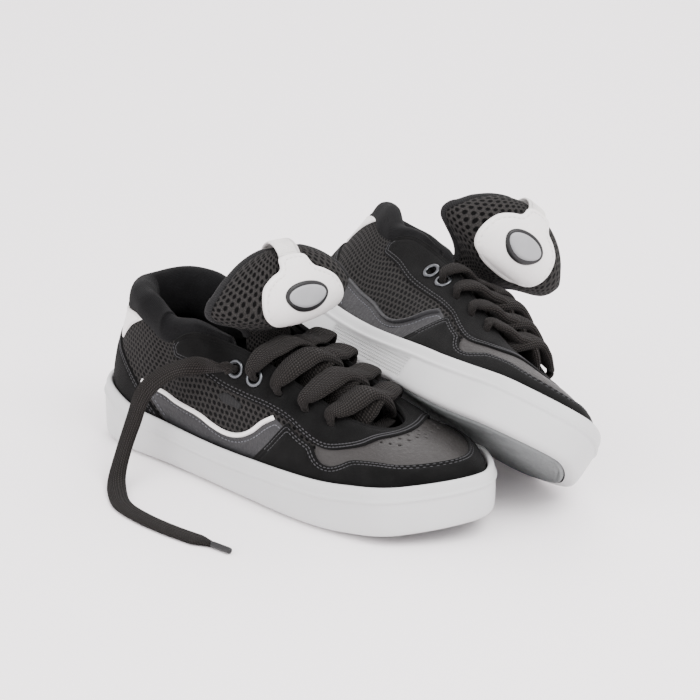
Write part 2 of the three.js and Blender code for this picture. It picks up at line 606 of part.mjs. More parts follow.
// ---- Colours ----
const paint = {
  rubber: [0xdfe0e0, 0.55, 0], tread: [0x7d8080, 0.8, 0], board: [0x8f8674, 0.95, 0],
    bed: [0x1d1d1f, 0.95, 0],
  lining: [0x141416, 0.95, 0], suede: [0x0c0c0d, 1, 0], mesh: [0x232222, 0.95, 0],
    leather: [0x55504e, 0.55, 0],
  darkLeather: [0x3f3f41, 0.5, 0], white: [0xe9e6e4, 0.5, 0], trim: [0x8b8c8e, 0.5, 0],
    lace: [0x2a2825, 0.95, 0],
  ring: [0x6b6d70, 0.35, 0.9], black: [0x151516, 0.8, 0],
};

// ---- Assembly ----
const ringAt = (side, row) => {
  const inner = EYELET_HOLE + 0.1;
  const section = [[inner, 0], [EYELET_RING, 0], [EYELET_RING - 0.5, 0.9], [inner, 0.9], [inner, 0]];
  const washer = new THREE.LatheGeometry(section.map(([r, z]) => new THREE.Vector2(r, z)), 12);
  return placedOnSkin(washer.rotateX(Math.PI / 2), eyeletAt(side, row), outerLayer[1] + GAP);
};
const cordNodes = ["lace_end", "aglet"];
const shoe = (prefix, isRight) => {
  const pieces = [
    ["cupsole", cupsole(), paint.rubber],
    ["tread", slab(TREAD_INSET, 0, TREAD), paint.tread],
    ["insole_board", slab(boardInset, boardBottom, boardTop), paint.board],
    ["footbed", slab(boardInset, bedBottom, bedTop), paint.bed],
    ["lining_shell", liningShell(), paint.lining],
    ["heel_stiffener", heelStiffener(), paint.board],
    ["quarter_mesh_lateral", quarterMesh(1), paint.mesh],
    ["quarter_mesh_medial", quarterMesh(-1), paint.mesh],
    ["vamp", vamp(), paint.leather],
    ["toe_cap", toeCap(), paint.suede],
    ["eyestay", eyestay(), paint.suede],
    ["heel_counter", heelCounter(), paint.suede],
    ["heel_tab", heelTab(), paint.white],
    ["side_panel_lateral", sidePanel(1), paint.darkLeather],
    ["side_panel_medial", sidePanel(-1), paint.darkLeather],
    ["piping_lateral", piping(1), paint.white],
    ["piping_medial", piping(-1), paint.darkLeather],
    ["collar", collar(), paint.black],
    ["tongue_lower", tongueLower(), paint.mesh],
    ["tongue_upper", tongueUpper(), paint.mesh],
    ["tongue_badge", badge(), paint.white],
    ["emblem", emblem(), paint.trim],
    ["pull_loop", pullLoop(), paint.white],
    ["side_tag", sideTag(), paint.black],
    ["eyelet_lateral_1", ringAt(1, 0), paint.ring],
    ["eyelet_lateral_2", ringAt(1, 1), paint.ring],
    ["eyelet_medial_1", ringAt(-1, 0), paint.ring],
    ["eyelet_medial_2", ringAt(-1, 1), paint.ring],
    ["lace", lace(isRight), paint.lace],
    ...(isRight ? [["lace_end", laceEnd(), paint.lace], ["aglet", aglet(), paint.black]] : []),
  ];
  const group = new THREE.Group();
  for (const [name, geometry, [color, roughness, metalness]] of pieces) {
    const material = new THREE.MeshStandardMaterial({ color, roughness, metalness });
    const mesh = new THREE.Mesh(outward(geometry), material);
    mesh.name = `${prefix}_${name}`;
    group.add(mesh);
  }
  return group;
};

const pair = new THREE.Group();
pair.name = "skate_trainers";
pair.add(shoe("right", true));
const left = shoe("left", false);
const leaning = new THREE.Matrix4().makeTranslation(-76.1, 31.8, 33.1);
leaning.multiply(new THREE.Matrix4().makeRotationZ(THREE.MathUtils.degToRad(-17.5)));
leaning.multiply(new THREE.Matrix4().makeRotationY(THREE.MathUtils.degToRad(-41)));
leaning.multiply(new THREE.Matrix4().makeScale(-1, 1, 1));
left.applyMatrix4(leaning);
pair.add(left);

// The origin is the middle of the pair's footprint, without the loose lace end.
pair.updateMatrixWorld(true);
const footprint = new THREE.Box3();
pair.traverse((o) => {
  if (o.isMesh && !cordNodes.some((name) => o.name.endsWith(name))) footprint.expandByObject(o, true);
});
const middle = footprint.getCenter(new THREE.Vector3());
pair.position.set(-middle.x, -middle.y, -footprint.min.z);
export default pair;
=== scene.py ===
"""A pair of skate-style trainers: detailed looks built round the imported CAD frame.

Each piece is drawn in millimetres in one shoe's own frame: +X to its outer side, +Y to its toe, the ground at
Z 0. It is then placed on the right shoe and, mirrored, on the tipped left shoe. The tongue's free end is drawn
for each shoe, because the two are turned differently, and only the right lace has a loose end.
"""
import json
import math

import bpy
import numpy as np
from mathutils import Matrix, Vector
from mathutils.geometry import delaunay_2d_cdt


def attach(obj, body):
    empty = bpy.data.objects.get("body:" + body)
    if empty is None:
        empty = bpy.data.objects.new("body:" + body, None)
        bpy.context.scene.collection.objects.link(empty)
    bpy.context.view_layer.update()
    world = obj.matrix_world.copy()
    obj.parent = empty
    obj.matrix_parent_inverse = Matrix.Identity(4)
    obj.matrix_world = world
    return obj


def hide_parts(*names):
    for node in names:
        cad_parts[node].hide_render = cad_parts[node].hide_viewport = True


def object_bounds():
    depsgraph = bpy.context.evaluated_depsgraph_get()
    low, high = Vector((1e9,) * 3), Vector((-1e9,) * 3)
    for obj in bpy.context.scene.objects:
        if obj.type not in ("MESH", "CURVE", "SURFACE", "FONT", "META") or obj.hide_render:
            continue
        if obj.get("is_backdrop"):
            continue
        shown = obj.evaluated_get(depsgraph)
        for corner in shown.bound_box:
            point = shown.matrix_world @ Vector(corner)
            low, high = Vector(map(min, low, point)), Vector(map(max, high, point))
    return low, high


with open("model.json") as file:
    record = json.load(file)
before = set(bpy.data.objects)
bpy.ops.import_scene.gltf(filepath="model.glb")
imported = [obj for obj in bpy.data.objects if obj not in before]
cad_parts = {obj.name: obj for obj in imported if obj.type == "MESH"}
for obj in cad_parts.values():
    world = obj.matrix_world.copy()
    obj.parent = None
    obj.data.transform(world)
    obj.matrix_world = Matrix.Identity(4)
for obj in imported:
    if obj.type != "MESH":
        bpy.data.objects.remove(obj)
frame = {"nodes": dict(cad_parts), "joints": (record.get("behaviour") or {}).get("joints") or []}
cad_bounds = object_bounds()

# ---- Camera, floor and light ----
camera = bpy.data.objects.new("camera", bpy.data.cameras.new("camera"))
bpy.context.scene.collection.objects.link(camera)
CAMERA_PLACE, LENS = (1.0986, 0.9143, 0.5876), 124.05
right_of_view = Vector((-0.65210, 0.75813, 0))
up_of_view = Vector((-0.25930, -0.22303, 0.93969))
turned = Matrix((right_of_view, up_of_view, right_of_view.cross(up_of_view))).transposed()
camera.matrix_world = Matrix.Translation(CAMERA_PLACE) @ turned.to_4x4()
camera.data.lens = LENS
camera.data.sensor_width = 36
camera.data.clip_end = 50
bpy.context.scene.camera = camera


def linear(code):
    """A screen colour such as 0xdfe0e0 as linear red, green, blue, alpha."""
    parts = [((code >> shift) & 255) / 255 for shift in (16, 8, 0)]
    return [c / 12.92 if c <= 0.04045 else ((c + 0.055) / 1.055) ** 2.4 for c in parts] + [1.0]


class Shade:
    """A Principled material and short ways to add nodes to it. The UV map holds millimetres."""

    def __init__(self, name, colour, rough, metal=0.0, sheen=0.0, shine=0.35):
        self.material = bpy.data.materials.new(name)
        self.material.use_nodes = True
        self.tree = self.material.node_tree
        self.shader = self.tree.nodes["Principled BSDF"]
        self.colour = linear(colour)
        self.set("Base Color", self.colour)
        self.set("Roughness", rough)
        self.set("Metallic", metal)
        self.set("Sheen Weight", sheen)
        self.set("Sheen Roughness", 0.6)
        self.set("Specular IOR Level", shine)
        self.uv = self.add("ShaderNodeUVMap")
        self.material.diffuse_color = self.colour

    def set(self, socket, value):
        if isinstance(value, bpy.types.NodeSocket):
            self.tree.links.new(value, self.shader.inputs[socket])
        else:
            self.shader.inputs[socket].default_value = value

    def add(self, kind, *values, out=0, **settings):
        """A new node with these values or links on its inputs, None to skip one. Gives one output."""
        node = self.tree.nodes.new(kind)
        for key, value in settings.items():
            setattr(node, key, value)
        for socket, value in zip(node.inputs, values):
            if isinstance(value, bpy.types.NodeSocket):
                self.tree.links.new(value, socket)
            elif value is not None:
                socket.default_value = value
        return node.outputs[out]

    def math(self, operation, *values):
        return self.add("ShaderNodeMath", *values, operation=operation)

    def noise(self, scale, detail=2.0, rough=0.5, stretch=(1, 1, 1), vector=None):
        place = self.add("ShaderNodeMapping", vector or self.uv, None, None, stretch)
        return self.add("ShaderNodeTexNoise", place, None, scale, detail, rough)

    def between(self, value, low, high):
        """0 below low, 1 above high, smooth between."""
        return self.add("ShaderNodeMapRange", value, low, high, interpolation_type="SMOOTHSTEP")

    def tint(self, mask, colour):
        """The base colour gives way to this one where mask is 1."""
        node = self.tree.nodes.new("ShaderNodeMix")
        node.data_type = "RGBA"
        base = self.shader.inputs["Base Color"]
        if base.is_linked:
            self.tree.links.new(base.links[0].from_socket, node.inputs[6])
        else:
            node.inputs[6].default_value = base.default_value
        node.inputs[7].default_value = colour if isinstance(colour, list) else linear(colour)
        self.tree.links.new(mask, node.inputs[0])
        self.tree.links.new(node.outputs[2], base)

    def mottle(self, amount, scale, detail=4.0):
        """Lighter and darker patches, amount as a share of the colour."""
        mask = self.between(self.noise(scale, detail), 0.35, 0.65)
        self.tint(mask, [c * (1 + amount) for c in self.colour[:3]] + [1.0])

    def bump(self, height, depth, strength=1.0):
        """Adds relief. depth is in millimetres."""
        normal = self.shader.inputs["Normal"]
        last = normal.links[0].from_socket if normal.is_linked else None
        node = self.tree.nodes.new("ShaderNodeBump")
        node.inputs["Strength"].default_value = strength
        node.inputs["Distance"].default_value = depth / 1000
        self.tree.links.new(height, node.inputs["Height"])
        if last:
            self.tree.links.new(last, node.inputs["Normal"])
        self.tree.links.new(node.outputs[0], normal)

    def dots(self, pitch, radius, soft=0.35):
        """1 inside round dots in staggered rows, 0 between them."""
        tall = pitch * math.sqrt(3)
        found = None
        for shift in (0.0, 0.5):
            scaled = self.add("ShaderNodeMapping", self.uv, (shift, shift, 0), None, (1 / pitch, 1 / tall, 1))
            cell = self.add("ShaderNodeVectorMath", scaled, operation="FRACTION")
            middle = self.add("ShaderNodeVectorMath", cell, (0.5, 0.5, 0), operation="SUBTRACT")
            real = self.add("ShaderNodeVectorMath", middle, (pitch, tall, 0), operation="MULTIPLY")
            length = self.add("ShaderNodeVectorMath", real, operation="LENGTH", out=1)
            found = length if found is None else self.math("MINIMUM", found, length)
        return self.between(self.math("MULTIPLY", found, -1.0), -radius - soft, -radius + soft)

    def wave(self, across, along, lean=0.0):
        """Ribs that repeat each `across` mm along V (or U where along is True), leaning by `lean`."""
        parts = self.tree.nodes.new("ShaderNodeSeparateXYZ")
        self.tree.links.new(self.uv, parts.inputs[0])
        across_map, along_map = parts.outputs[:2]
        first, second = (across_map, along_map) if along else (along_map, across_map)
        leaned = self.math("MULTIPLY", self.math("ABSOLUTE", second), lean)
        phase = self.math("MULTIPLY", self.math("ADD", first, leaned), 2 * math.pi / across)
        return self.math("SINE", phase)


def cloth(name, colour, sheen=0.3, pitch=0.9):
    m = Shade(name, colour, 0.95, sheen=sheen, shine=0.06)
    m.mottle(0.35, 0.12)
    m.bump(m.math("ADD", m.wave(pitch, True), m.wave(pitch, False)), 0.06)
    m.bump(m.noise(1.6, 3), 0.25)
    return m.material


def suede():
    m = Shade("suede", 0x070707, 0.97, sheen=0.03, shine=0.05)
    m.mottle(0.9, 0.06, 6)
    nap = m.noise(2.6, 6, 0.75, (1, 0.45, 1))
    m.tint(m.between(nap, 0.5, 0.8), 0x151515)
    m.bump(nap, 0.3)
    return m.material


def grain(name, colour, rough, depth=0.12, mottle=0.12):
    m = Shade(name, colour, rough)
    m.mottle(mottle, 0.05, 5)
    cells = m.add("ShaderNodeTexVoronoi", m.add("ShaderNodeMapping", m.uv), None, 1.3)
    m.bump(cells, depth)
    m.bump(m.noise(0.25, 3), 0.5)
    m.set("Roughness", m.add("ShaderNodeMapRange", m.noise(0.4, 4), 0.3, 0.7, rough - 0.07, rough + 0.09))
    return m.material


def spacer_mesh(name, pitch, radius):
    m = Shade(name, 0x232221, 0.92, sheen=0.03, shine=0.06)
    m.tint(m.between(m.noise(1.8, 3), 0.4, 0.7), 0x32302f)
    holes = m.dots(pitch, radius, 0.3)
    # Painted shade: the holes are tinted near-black for the shade inside them.
    m.tint(holes, 0x010101)
    m.bump(m.math("MULTIPLY", holes, -1.0), 1.1)
    m.bump(m.noise(3.5, 2), 0.22)
    return m.material


def rubber(name="rubber", colour=0xc0c1c1, dimples=False):
    m = Shade(name, colour, 0.5)
    m.mottle(-0.035, 0.02, 5)
    low = m.add("ShaderNodeSeparateXYZ", m.uv, out=1)
    dust = m.math("MULTIPLY", m.between(m.noise(0.06, 6, 0.7), 0.45, 0.8),
                  m.between(m.math("MULTIPLY", low, -1.0), -14.0, -2.0))
    m.tint(m.math("MULTIPLY", dust, 0.5), 0xb9b5b0)
    m.bump(m.noise(1.2, 3), 0.05)
    if dimples:
        m.bump(m.math("MULTIPLY", m.dots(2.3, 0.62, 0.3), -1.0), 0.7)
    return m.material


def tread_rubber():
    m = Shade("tread", 0x696c6c, 0.75)
    m.mottle(0.12, 0.08)
    m.bump(m.noise(1.5, 4), 0.15)
    return m.material


def lace_weave():
    m = Shade("lace", 0x131110, 0.93, sheen=0.03, shine=0.06)
    chevrons = m.wave(1.7, True, 0.9)
    ribs = m.wave(1.15, False)
    m.tint(m.between(m.math("ADD", chevrons, ribs), -0.2, 1.6), 0x2a2725)
    m.bump(m.math("ADD", chevrons, ribs), 0.22)
    m.bump(m.noise(1.1, 4), 0.2)
    return m.material


def webbing(name, colour):
    m = Shade(name, colour, 0.85)
    m.bump(m.wave(1.3, True), 0.18)
    m.bump(m.wave(0.8, False), 0.08)
    m.mottle(-0.08, 0.2)
    return m.material


def plain(name, colour, rough, metal=0.0):
    m = Shade(name, colour, rough, metal)
    m.bump(m.noise(1.0, 2), 0.03)
    m.mottle(0.08, 0.1)
    return m.material


looks = {
    "suede": suede(),
    "mesh": spacer_mesh("mesh", 4.4, 1.45),
    "tongue_mesh": spacer_mesh("tongue_mesh", 3.3, 1.0),
    "rubber": rubber(),
    "dimpled": rubber("dimpled", 0xbbbcbc, True),
    "tread": tread_rubber(),
    "vamp": grain("vamp", 0x242221, 0.55),
    "side": grain("side", 0x1f1f21, 0.55),
    "white": grain("white", 0xe6e3e1, 0.45, 0.07, -0.03),
    "collar": cloth("collar", 0x0a0a0b, 0.03),
    "lining": cloth("lining", 0x070708, 0.02),
    "bed": cloth("bed", 0x0c0c0d, 0.02),
    "board": plain("board", 0x8f8674, 0.95),
    "binding": webbing("binding", 0x101011),
    "loop": webbing("loop", 0xe4e1de),
    "lace": lace_weave(),
    "tag": webbing("tag", 0x131314),
    "grey": plain("grey", 0x8d8e90, 0.5),
    "black": plain("black", 0x131314, 0.4),
    "ring": plain("ring", 0x55575a, 0.32, 0.95),
    # Near-black painted shade that fills the holes cut in the panels.
    "dark": plain("dark", 0x020202, 1.0),
    "thread": plain("thread", 0x303032, 0.8),
    "grey_thread": plain("grey_thread", 0x55565a, 0.8),
    "white_thread": plain("white_thread", 0xd3d0ce, 0.8),
    "floor": plain("floor", 0xfefafb, 0.9),
}
for side in ("right", "left"):
    for node, look in {"lining_shell": "lining", "footbed": "bed", "insole_board": "board",
                       "heel_stiffener": "lining"}.items():
        mesh = frame["nodes"][f"{side}_{node}"].data
        mesh.materials.clear()
        mesh.materials.append(looks[look])

bpy.ops.mesh.primitive_plane_add(size=12)
floor = bpy.context.object
floor.name = "floor"
floor.data.materials.append(looks["floor"])
floor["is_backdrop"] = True

WORLD_COLOUR, WORLD_STRENGTH = 0xf3eff1, 2.3
world = bpy.data.worlds.new("studio")
world.use_nodes = True
world.node_tree.nodes["Background"].inputs[0].default_value = linear(WORLD_COLOUR)
world.node_tree.nodes["Background"].inputs[1].default_value = WORLD_STRENGTH
bpy.context.scene.world = world


def lamp(name, place, size, watts, target=(0, 0, 0.05)):
    light = bpy.data.objects.new(name, bpy.data.lights.new(name, "AREA"))
    light.data.size = size
    light.data.energy = watts
    light.location = place
    light.rotation_euler = (Vector(target) - Vector(place)).to_track_quat("-Z", "Y").to_euler()
    bpy.context.scene.collection.objects.link(light)


lamp("key", (0.2, 1.3, 1.7), 1.2, 50)
lamp("fill", (1.9, -0.3, 1.1), 1.6, 22)
lamp("back", (-1.4, -1.0, 1.5), 1.2, 20)

# ---- Where the two shoes stand ----
FLEX_POINT = np.array([0, -11.942, 84.879])  # the tongue's flex line in the shoe's own frame
joints = {j["name"]: j for j in frame["joints"]}
row_shift = np.array(joints["right_tongue_flex"]["pos_m"]) * 1000 - FLEX_POINT
LEFT_TURN, LEFT_TIP = -17.5, -41  # degrees about Z and Y
lean = Matrix.Rotation(math.radians(LEFT_TURN), 4, "Z") @ Matrix.Rotation(math.radians(LEFT_TIP), 4, "Y")
left_turn = np.array((lean @ Matrix.Diagonal((-1, 1, 1, 1))).to_3x3())
left_shift = np.array(joints["left_tongue_flex"]["pos_m"]) * 1000 - left_turn @ FLEX_POINT
PLACES = {"right": (np.eye(3), row_shift), "left": (left_turn, left_shift)}

# ---- Sizes, as in the CAD ----
SOLE_LENGTH, BALL_WIDTH, HEEL_WIDTH = 300, 110, 83
COLLAR_HEIGHT, INSTEP_HEIGHT, THROAT_WIDTH = 94, 92, 50
TOE_SPRING, SPRING_START = 13, 50
BED_BOTTOM, PANEL_INSET, FEATHER_DEPTH = 14.2, 7.8, 7
half, heel_half, ball_half, throat_half = SOLE_LENGTH / 2, HEEL_WIDTH / 2, BALL_WIDTH / 2, THROAT_WIDTH / 2


# ---- Curves ----
def through(points, closed=False, even=False):
    """A Catmull-Rom curve as a function of 0 to 1: centripetal, or with even knots."""
    points = np.array(points, float)
    count = len(points)
    if closed:
        padded = np.vstack([points[-1:], points, points[:2]])
        spans = count
    else:
        padded = np.vstack([2 * points[0] - points[1], points, 2 * points[-1] - points[-2]])
        spans = count - 1

    def at(u):
        s = np.asarray(u, float) % 1.0 * spans if closed else np.clip(u, 0, 1) * spans
        i = np.minimum(np.floor(s).astype(int), spans - 1)
        w = (s - i)[..., None]
        p = [padded[i + k] for k in range(4)]
        if even:
            first, second = 0.5 * (p[2] - p[0]), 0.5 * (p[3] - p[1])
        else:
            d = [np.sqrt(np.linalg.norm(p[k + 1] - p[k], axis=-1, keepdims=True)) + 1e-9 for k in range(3)]
            first = (p[1] - p[0]) / d[0] - (p[2] - p[0]) / (d[0] + d[1]) + (p[2] - p[1]) / d[1]
            second = (p[2] - p[1]) / d[1] - (p[3] - p[1]) / (d[1] + d[2]) + (p[3] - p[2]) / d[2]
            first, second = first * d[1], second * d[1]
        a, b = p[1], p[2]
        square, cube = 3 * (b - a) - 2 * first - second, 2 * (a - b) + first + second
        return a + first * w + square * w**2 + cube * w**3

    return at


def resampled(line, step, closed=False):
    """Points at even spacing of about step along a polyline."""
    line = np.array(line, float)
    if closed:
        line = np.vstack([line, line[:1]])
    run = np.concatenate([[0], np.cumsum(np.linalg.norm(np.diff(line, axis=0), axis=1))])
    count = max(2, int(round(run[-1] / step)))
    at = np.linspace(0, run[-1], count + 1)
    if closed:
        at = at[:-1]
    return np.stack([np.interp(at, run, line[:, k]) for k in range(line.shape[1])], 1)


def unit(v):
    return v / np.maximum(np.linalg.norm(v, axis=-1, keepdims=True), 1e-9)


def ease(x, low, high):
    x = np.clip((np.asarray(x, float) - low) / (high - low), 0, 1)
    return x * x * (3 - 2 * x)


# ---- The upper's outer surface ----
# t turns round the shoe, 0 at the heel and 0.5 at the toe. v climbs from the feather line to the top edge.
HEEL = ((0, -1), (0, -0.87, COLLAR_HEIGHT), (28, 5, 24))
SIDE = [
    ((0.66 * heel_half, -0.93), (0.6 * heel_half, -0.77, 1.02 * COLLAR_HEIGHT), (28, 4, 22)),
    ((0.96 * heel_half, -0.74), (0.81 * heel_half, -0.65, 0.99 * COLLAR_HEIGHT), (26, 4, 18)),
    ((1.02 * heel_half, -0.48), (0.87 * heel_half, -0.49, 0.89 * COLLAR_HEIGHT), (18, 3, 14)),
    ((0.84 * ball_half, -0.22), (1.28 * throat_half, -0.32, INSTEP_HEIGHT), (22, 8, 18)),
    ((0.92 * ball_half, 0.04), (throat_half, -0.07, 0.93 * INSTEP_HEIGHT), (24, 16, 16)),
    ((0.99 * ball_half, 0.3), (0.88 * throat_half, 0.19, 0.78 * INSTEP_HEIGHT), (20, 16, 12)),
    ((0.97 * ball_half, 0.56), (0.76 * throat_half, 0.4, 0.64 * INSTEP_HEIGHT), (16, 18, 5)),
    ((0.78 * ball_half, 0.8), (0.44 * throat_half, 0.52, 0.58 * INSTEP_HEIGHT), (15, 22, 3)),
]
TOE = ((0, 1), (0, 0.55, 0.56 * INSTEP_HEIGHT), (15, 26, 3))
INNER_SLIM = 0.94
INNER = [((-INNER_SLIM * f[0], f[1]), (-p[0], p[1], p[2]), s) for f, p, s in reversed(SIDE)]
STATIONS = [HEEL, *SIDE, TOE, *INNER]
foot_curve = through([(f[0], f[1] * half, 0) for f, _, _ in STATIONS], True, True)
top_curve = through([(p[0], p[1] * half, p[2]) for _, p, _ in STATIONS], True, True)
shape_curve = through([s for _, _, s in STATIONS], True, True)
RIM = [(-1.1, 42), (-0.9, 38), (-0.66, 30.5), (-0.2, 26.5), (0.33, 30), (0.73, 32), (1.1, 29.5)]
rim_table = through(RIM, even=True)(np.linspace(0, 1, 121))


def rim_at(y):
    return np.interp(y / half, rim_table[:, 0], rim_table[:, 1])


def lift(y):
    return TOE_SPRING * np.maximum(0, (y - SPRING_START) / (half - SPRING_START)) ** 2


def outline_at(t, inset=0.0):
    along = unit(foot_curve(t + 0.004) - foot_curve(t - 0.004))
    inward = np.stack([-along[..., 1], along[..., 0], 0 * along[..., 0]], -1)
    return foot_curve(t) + inward * np.asarray(inset, float)[..., None]


def surface(t, v):
    t, v = np.broadcast_arrays(np.asarray(t, float), np.asarray(v, float))
    foot = outline_at(t, np.full(t.shape, PANEL_INSET))
    foot[..., 2] = rim_at(foot[..., 1]) - FEATHER_DEPTH
    top, form = top_curve(t), shape_curve(t)
    out = foot - top
    out[..., 2] = 0
    out = unit(out)
    up = np.array([0, 0, 1.0])
    low = foot + up * form[..., 0:1]
    high = top + out * form[..., 1:2] - up * form[..., 2:3]
    c = np.clip(v, 0, 1)[..., None]
    p = foot * (1 - c) ** 3 + 3 * low * c * (1 - c) ** 2 + 3 * high * c**2 * (1 - c) + top * c**3
    p[..., 2] += np.minimum(v, 0) * (foot[..., 2] - BED_BOTTOM) + lift(p[..., 1])
    return p


def normal(t, v):
    t, v = np.broadcast_arrays(np.asarray(t, float), np.asarray(v, float))
    v = np.clip(v, 0.002, 0.998)
    around = surface(t + 0.004, v) - surface(t - 0.004, v)
    upward = surface(t, v + 0.002) - surface(t, v - 0.002)
    return unit(np.cross(around, upward))


def skin(t, v, depth):
    return surface(t, v) + normal(t, v) * np.asarray(depth, float)[..., None]


# ---- Pieces ----
def place(name, points, faces, uvs, look, *, part="shoe", node=None, slot=None, sides=("right", "left"),
          flags=None, extra=None):
    """Makes the piece on each side from points in the shoe's own frame, in millimetres."""
    made = {}
    for side in sides:
        turn, shift = PLACES[side]
        world = (np.asarray(points) @ turn.T + shift) / 1000
        mirrored = np.linalg.det(turn) < 0
        loops = [tuple(reversed(f)) for f in faces] if mirrored else faces
        mesh = bpy.data.meshes.new(f"{side}_{name}_look")
        mesh.from_pydata(world.tolist(), [], loops)
        mesh.materials.append(looks[look])
        if extra:
            mesh.materials.append(looks[extra])
            mesh.polygons.foreach_set("material_index", np.asarray(flags, np.int32))
        mesh.polygons.foreach_set("use_smooth", np.ones(len(faces), bool))
        layer = mesh.uv_layers.new(name="flat")
        index = np.zeros(len(mesh.loops), np.int32)
        mesh.loops.foreach_get("vertex_index", index)
        layer.data.foreach_set("uv", np.asarray(uvs, np.float32)[index].ravel())
        piece = bpy.data.objects.new(mesh.name, mesh)
        bpy.context.scene.collection.objects.link(piece)
        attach(piece, f"{side}_{part}")
        if node:
            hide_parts(*[f"{side}_{n}" for n in ([node] if isinstance(node, str) else node)])
        made[side] = piece
    return made


def tube(rows, closed_rows=False, caps=True):
    """Faces that join rows of points, each row a closed loop."""
    count, size = rows.shape[:2]
    faces = []
    for i in range(count if closed_rows else count - 1):
        a, b = i * size, (i + 1) % count * size
        for j in range(size):
            k = (j + 1) % size
            faces.append((a + j, a + k, b + k, b + j))
    if caps and not closed_rows:
        faces += [tuple(range(size))[::-1], tuple((count - 1) * size + j for j in range(size))]
    return faces


def swept(name, rows, look, outward=None, **rest):
    """A tube through rows of points. UV is millimetres along it and round it."""
    along = np.concatenate([[0], np.cumsum(np.linalg.norm(np.diff(rows.mean(1), axis=0), axis=1))])
    girth = np.linalg.norm(np.diff(rows, axis=1, append=rows[:, :1]), axis=2).mean(0)
    across = np.cumsum(girth) - girth.sum() / 2
    uvs = np.stack(np.broadcast_arrays(along[:, None], across[None]), -1).reshape(-1, 2)
    return place(name, rows.reshape(-1, 3), tube(rows, **(outward or {})), uvs, look, **rest)


def wobble(p, size, amount):
    """Small, smooth unevenness, the same wherever it is asked for."""
    a, b, c = (np.asarray(p)[..., k] / size for k in range(3))
    waves = np.sin(a * 1.7 + 2.1 * np.sin(b)) + np.sin(b * 2.3 + c * 1.3 + 0.7) * np.cos(c * 1.9 - a)
    return amount * waves / 2


FLAT = np.array([2.0, 0.8])  # millimetres for each degree round and each percent up


def flip(points):
    return [(360 - a, b) for a, b in reversed(points)]


def outline_of(points, step=1.3, corner=50):
    """A closed pattern edge through these points, rounded except where it turns sharply."""
    p = np.array(points, float) * FLAT
    before, after = unit(p - np.roll(p, 1, 0)), unit(np.roll(p, -1, 0) - p)
    turns = np.degrees(np.arccos(np.clip((before * after).sum(1), -1, 1)))
    corners = np.flatnonzero(turns > corner)
    if not len(corners):
        return resampled(through(p, True)(np.linspace(0, 1, 30 * len(p), endpoint=False)), step, True)
    p = np.roll(p, -corners[0], 0)
    corners = [*(corners - corners[0]), len(p)]
    p = np.vstack([p, p[:1]])
    runs = []
    for a, b in zip(corners, corners[1:]):
        run = p[a:b + 1]
        dense = through(run)(np.linspace(0, 1, 30 * len(run))) if len(run) > 2 else run
        runs.append(resampled(dense, step)[:-1])
    return np.vstack(runs)


def distance(q, loop):
    a, ab = loop, np.roll(loop, -1, 0) - loop
    aq = q[:, None] - a[None]
    w = np.clip((aq * ab).sum(-1) / (ab**2).sum(-1), 0, 1)
    return np.sqrt(((aq - w[..., None] * ab) ** 2).sum(-1)).min(1)


def inside(q, loop):
    a, b = loop, np.roll(loop, -1, 0)
    y = q[:, None, 1]
    crosses = (a[:, 1] > y) != (b[:, 1] > y)
    x = (b[:, 0] - a[:, 0]) * (y - a[:, 1]) / (b[:, 1] - a[:, 1] + 1e-12) + a[:, 0]
    return (crosses & (q[:, None, 0] < x)).sum(1) % 2 == 1


def set_in(loop, amount):
    """The loop moved inward, without the points that a corner leaves too near the edge."""
    along = unit(np.roll(loop, -1, 0) - np.roll(loop, 1, 0))
    area = (loop[:, 0] * np.roll(loop[:, 1], -1) - np.roll(loop[:, 0], -1) * loop[:, 1]).sum()
    inward = np.stack([-along[:, 1], along[:, 0]], 1) * np.sign(area)
    moved = loop + inward * amount
    return moved[inside(moved, loop) & (distance(moved, loop) > 0.95 * amount)]


def filled(loop, rings, grid, holes=()):
    """A flat mesh of the pattern: its edge, rings set in from it, then a grid. holes are (x, y, radius)."""
    low, high = loop.min(0), loop.max(0)
    xs, ys = np.arange(low[0], high[0], grid), np.arange(low[1], high[1], grid * 0.87)
    net = np.array([(x + (j % 2) * grid / 2, y) for j, y in enumerate(ys) for x in xs])
    net = net[inside(net, loop)]
    net = net[distance(net, loop) > (rings[-1] if rings else 0) + 0.6 * grid]
    inner = np.vstack([net, *[set_in(loop, r) for r in rings]])
    for x, y, r in holes:
        inner = inner[np.hypot(inner[:, 0] - x, inner[:, 1] - y) > 1.35 * r]
        angles = np.arange(14) * 2 * math.pi / 14
        for share in (1.18, 0.98, 0.86, 0.4):
            inner = np.vstack([inner,
                               np.stack([x + share * r * np.cos(angles), y + share * r * np.sin(angles)], 1)])
    points = np.vstack([loop, inner])
    edges = [(i, (i + 1) % len(loop)) for i in range(len(loop))]
    found = delaunay_2d_cdt([Vector(p) for p in points], edges, [], 1, 1e-5)
    return np.array([tuple(v) for v in found[0]]), [tuple(f) for f in found[2]]


stitch_rows = {"thread": [], "grey_thread": [], "white_thread": []}


def sew(thread, loop, at, height, keep, to_skin, part="shoe", sides=("right", "left"), length=2.2, pitch=3.2):
    """Notes a row of stitches that runs `at` millimetres inside the loop."""
    fine = resampled(loop, 0.45, True)
    line = set_in(fine, at) if at else fine
    gaps = np.flatnonzero(np.linalg.norm(np.diff(line, axis=0), axis=1) > 2.5)
    for run in np.split(line, gaps + 1):
        if len(run) < 8:
            continue
        run = resampled(run, pitch)
        middle, along = (run[1:] + run[:-1]) / 2, unit(np.diff(run, axis=0))
        kept = np.array([keep(*(p / FLAT)) for p in middle], bool)
        middle, along = middle[kept], along[kept]
        if not len(middle):
            continue
        centre, ahead, above = (to_skin(middle, height), to_skin(middle + along * 0.5, height),
                                to_skin(middle, height + 1))
        x = unit(ahead - centre)
        z = unit(above - centre)
        stitch_rows[thread].append((centre, x, unit(np.cross(z, x)), z, length, part, sides))


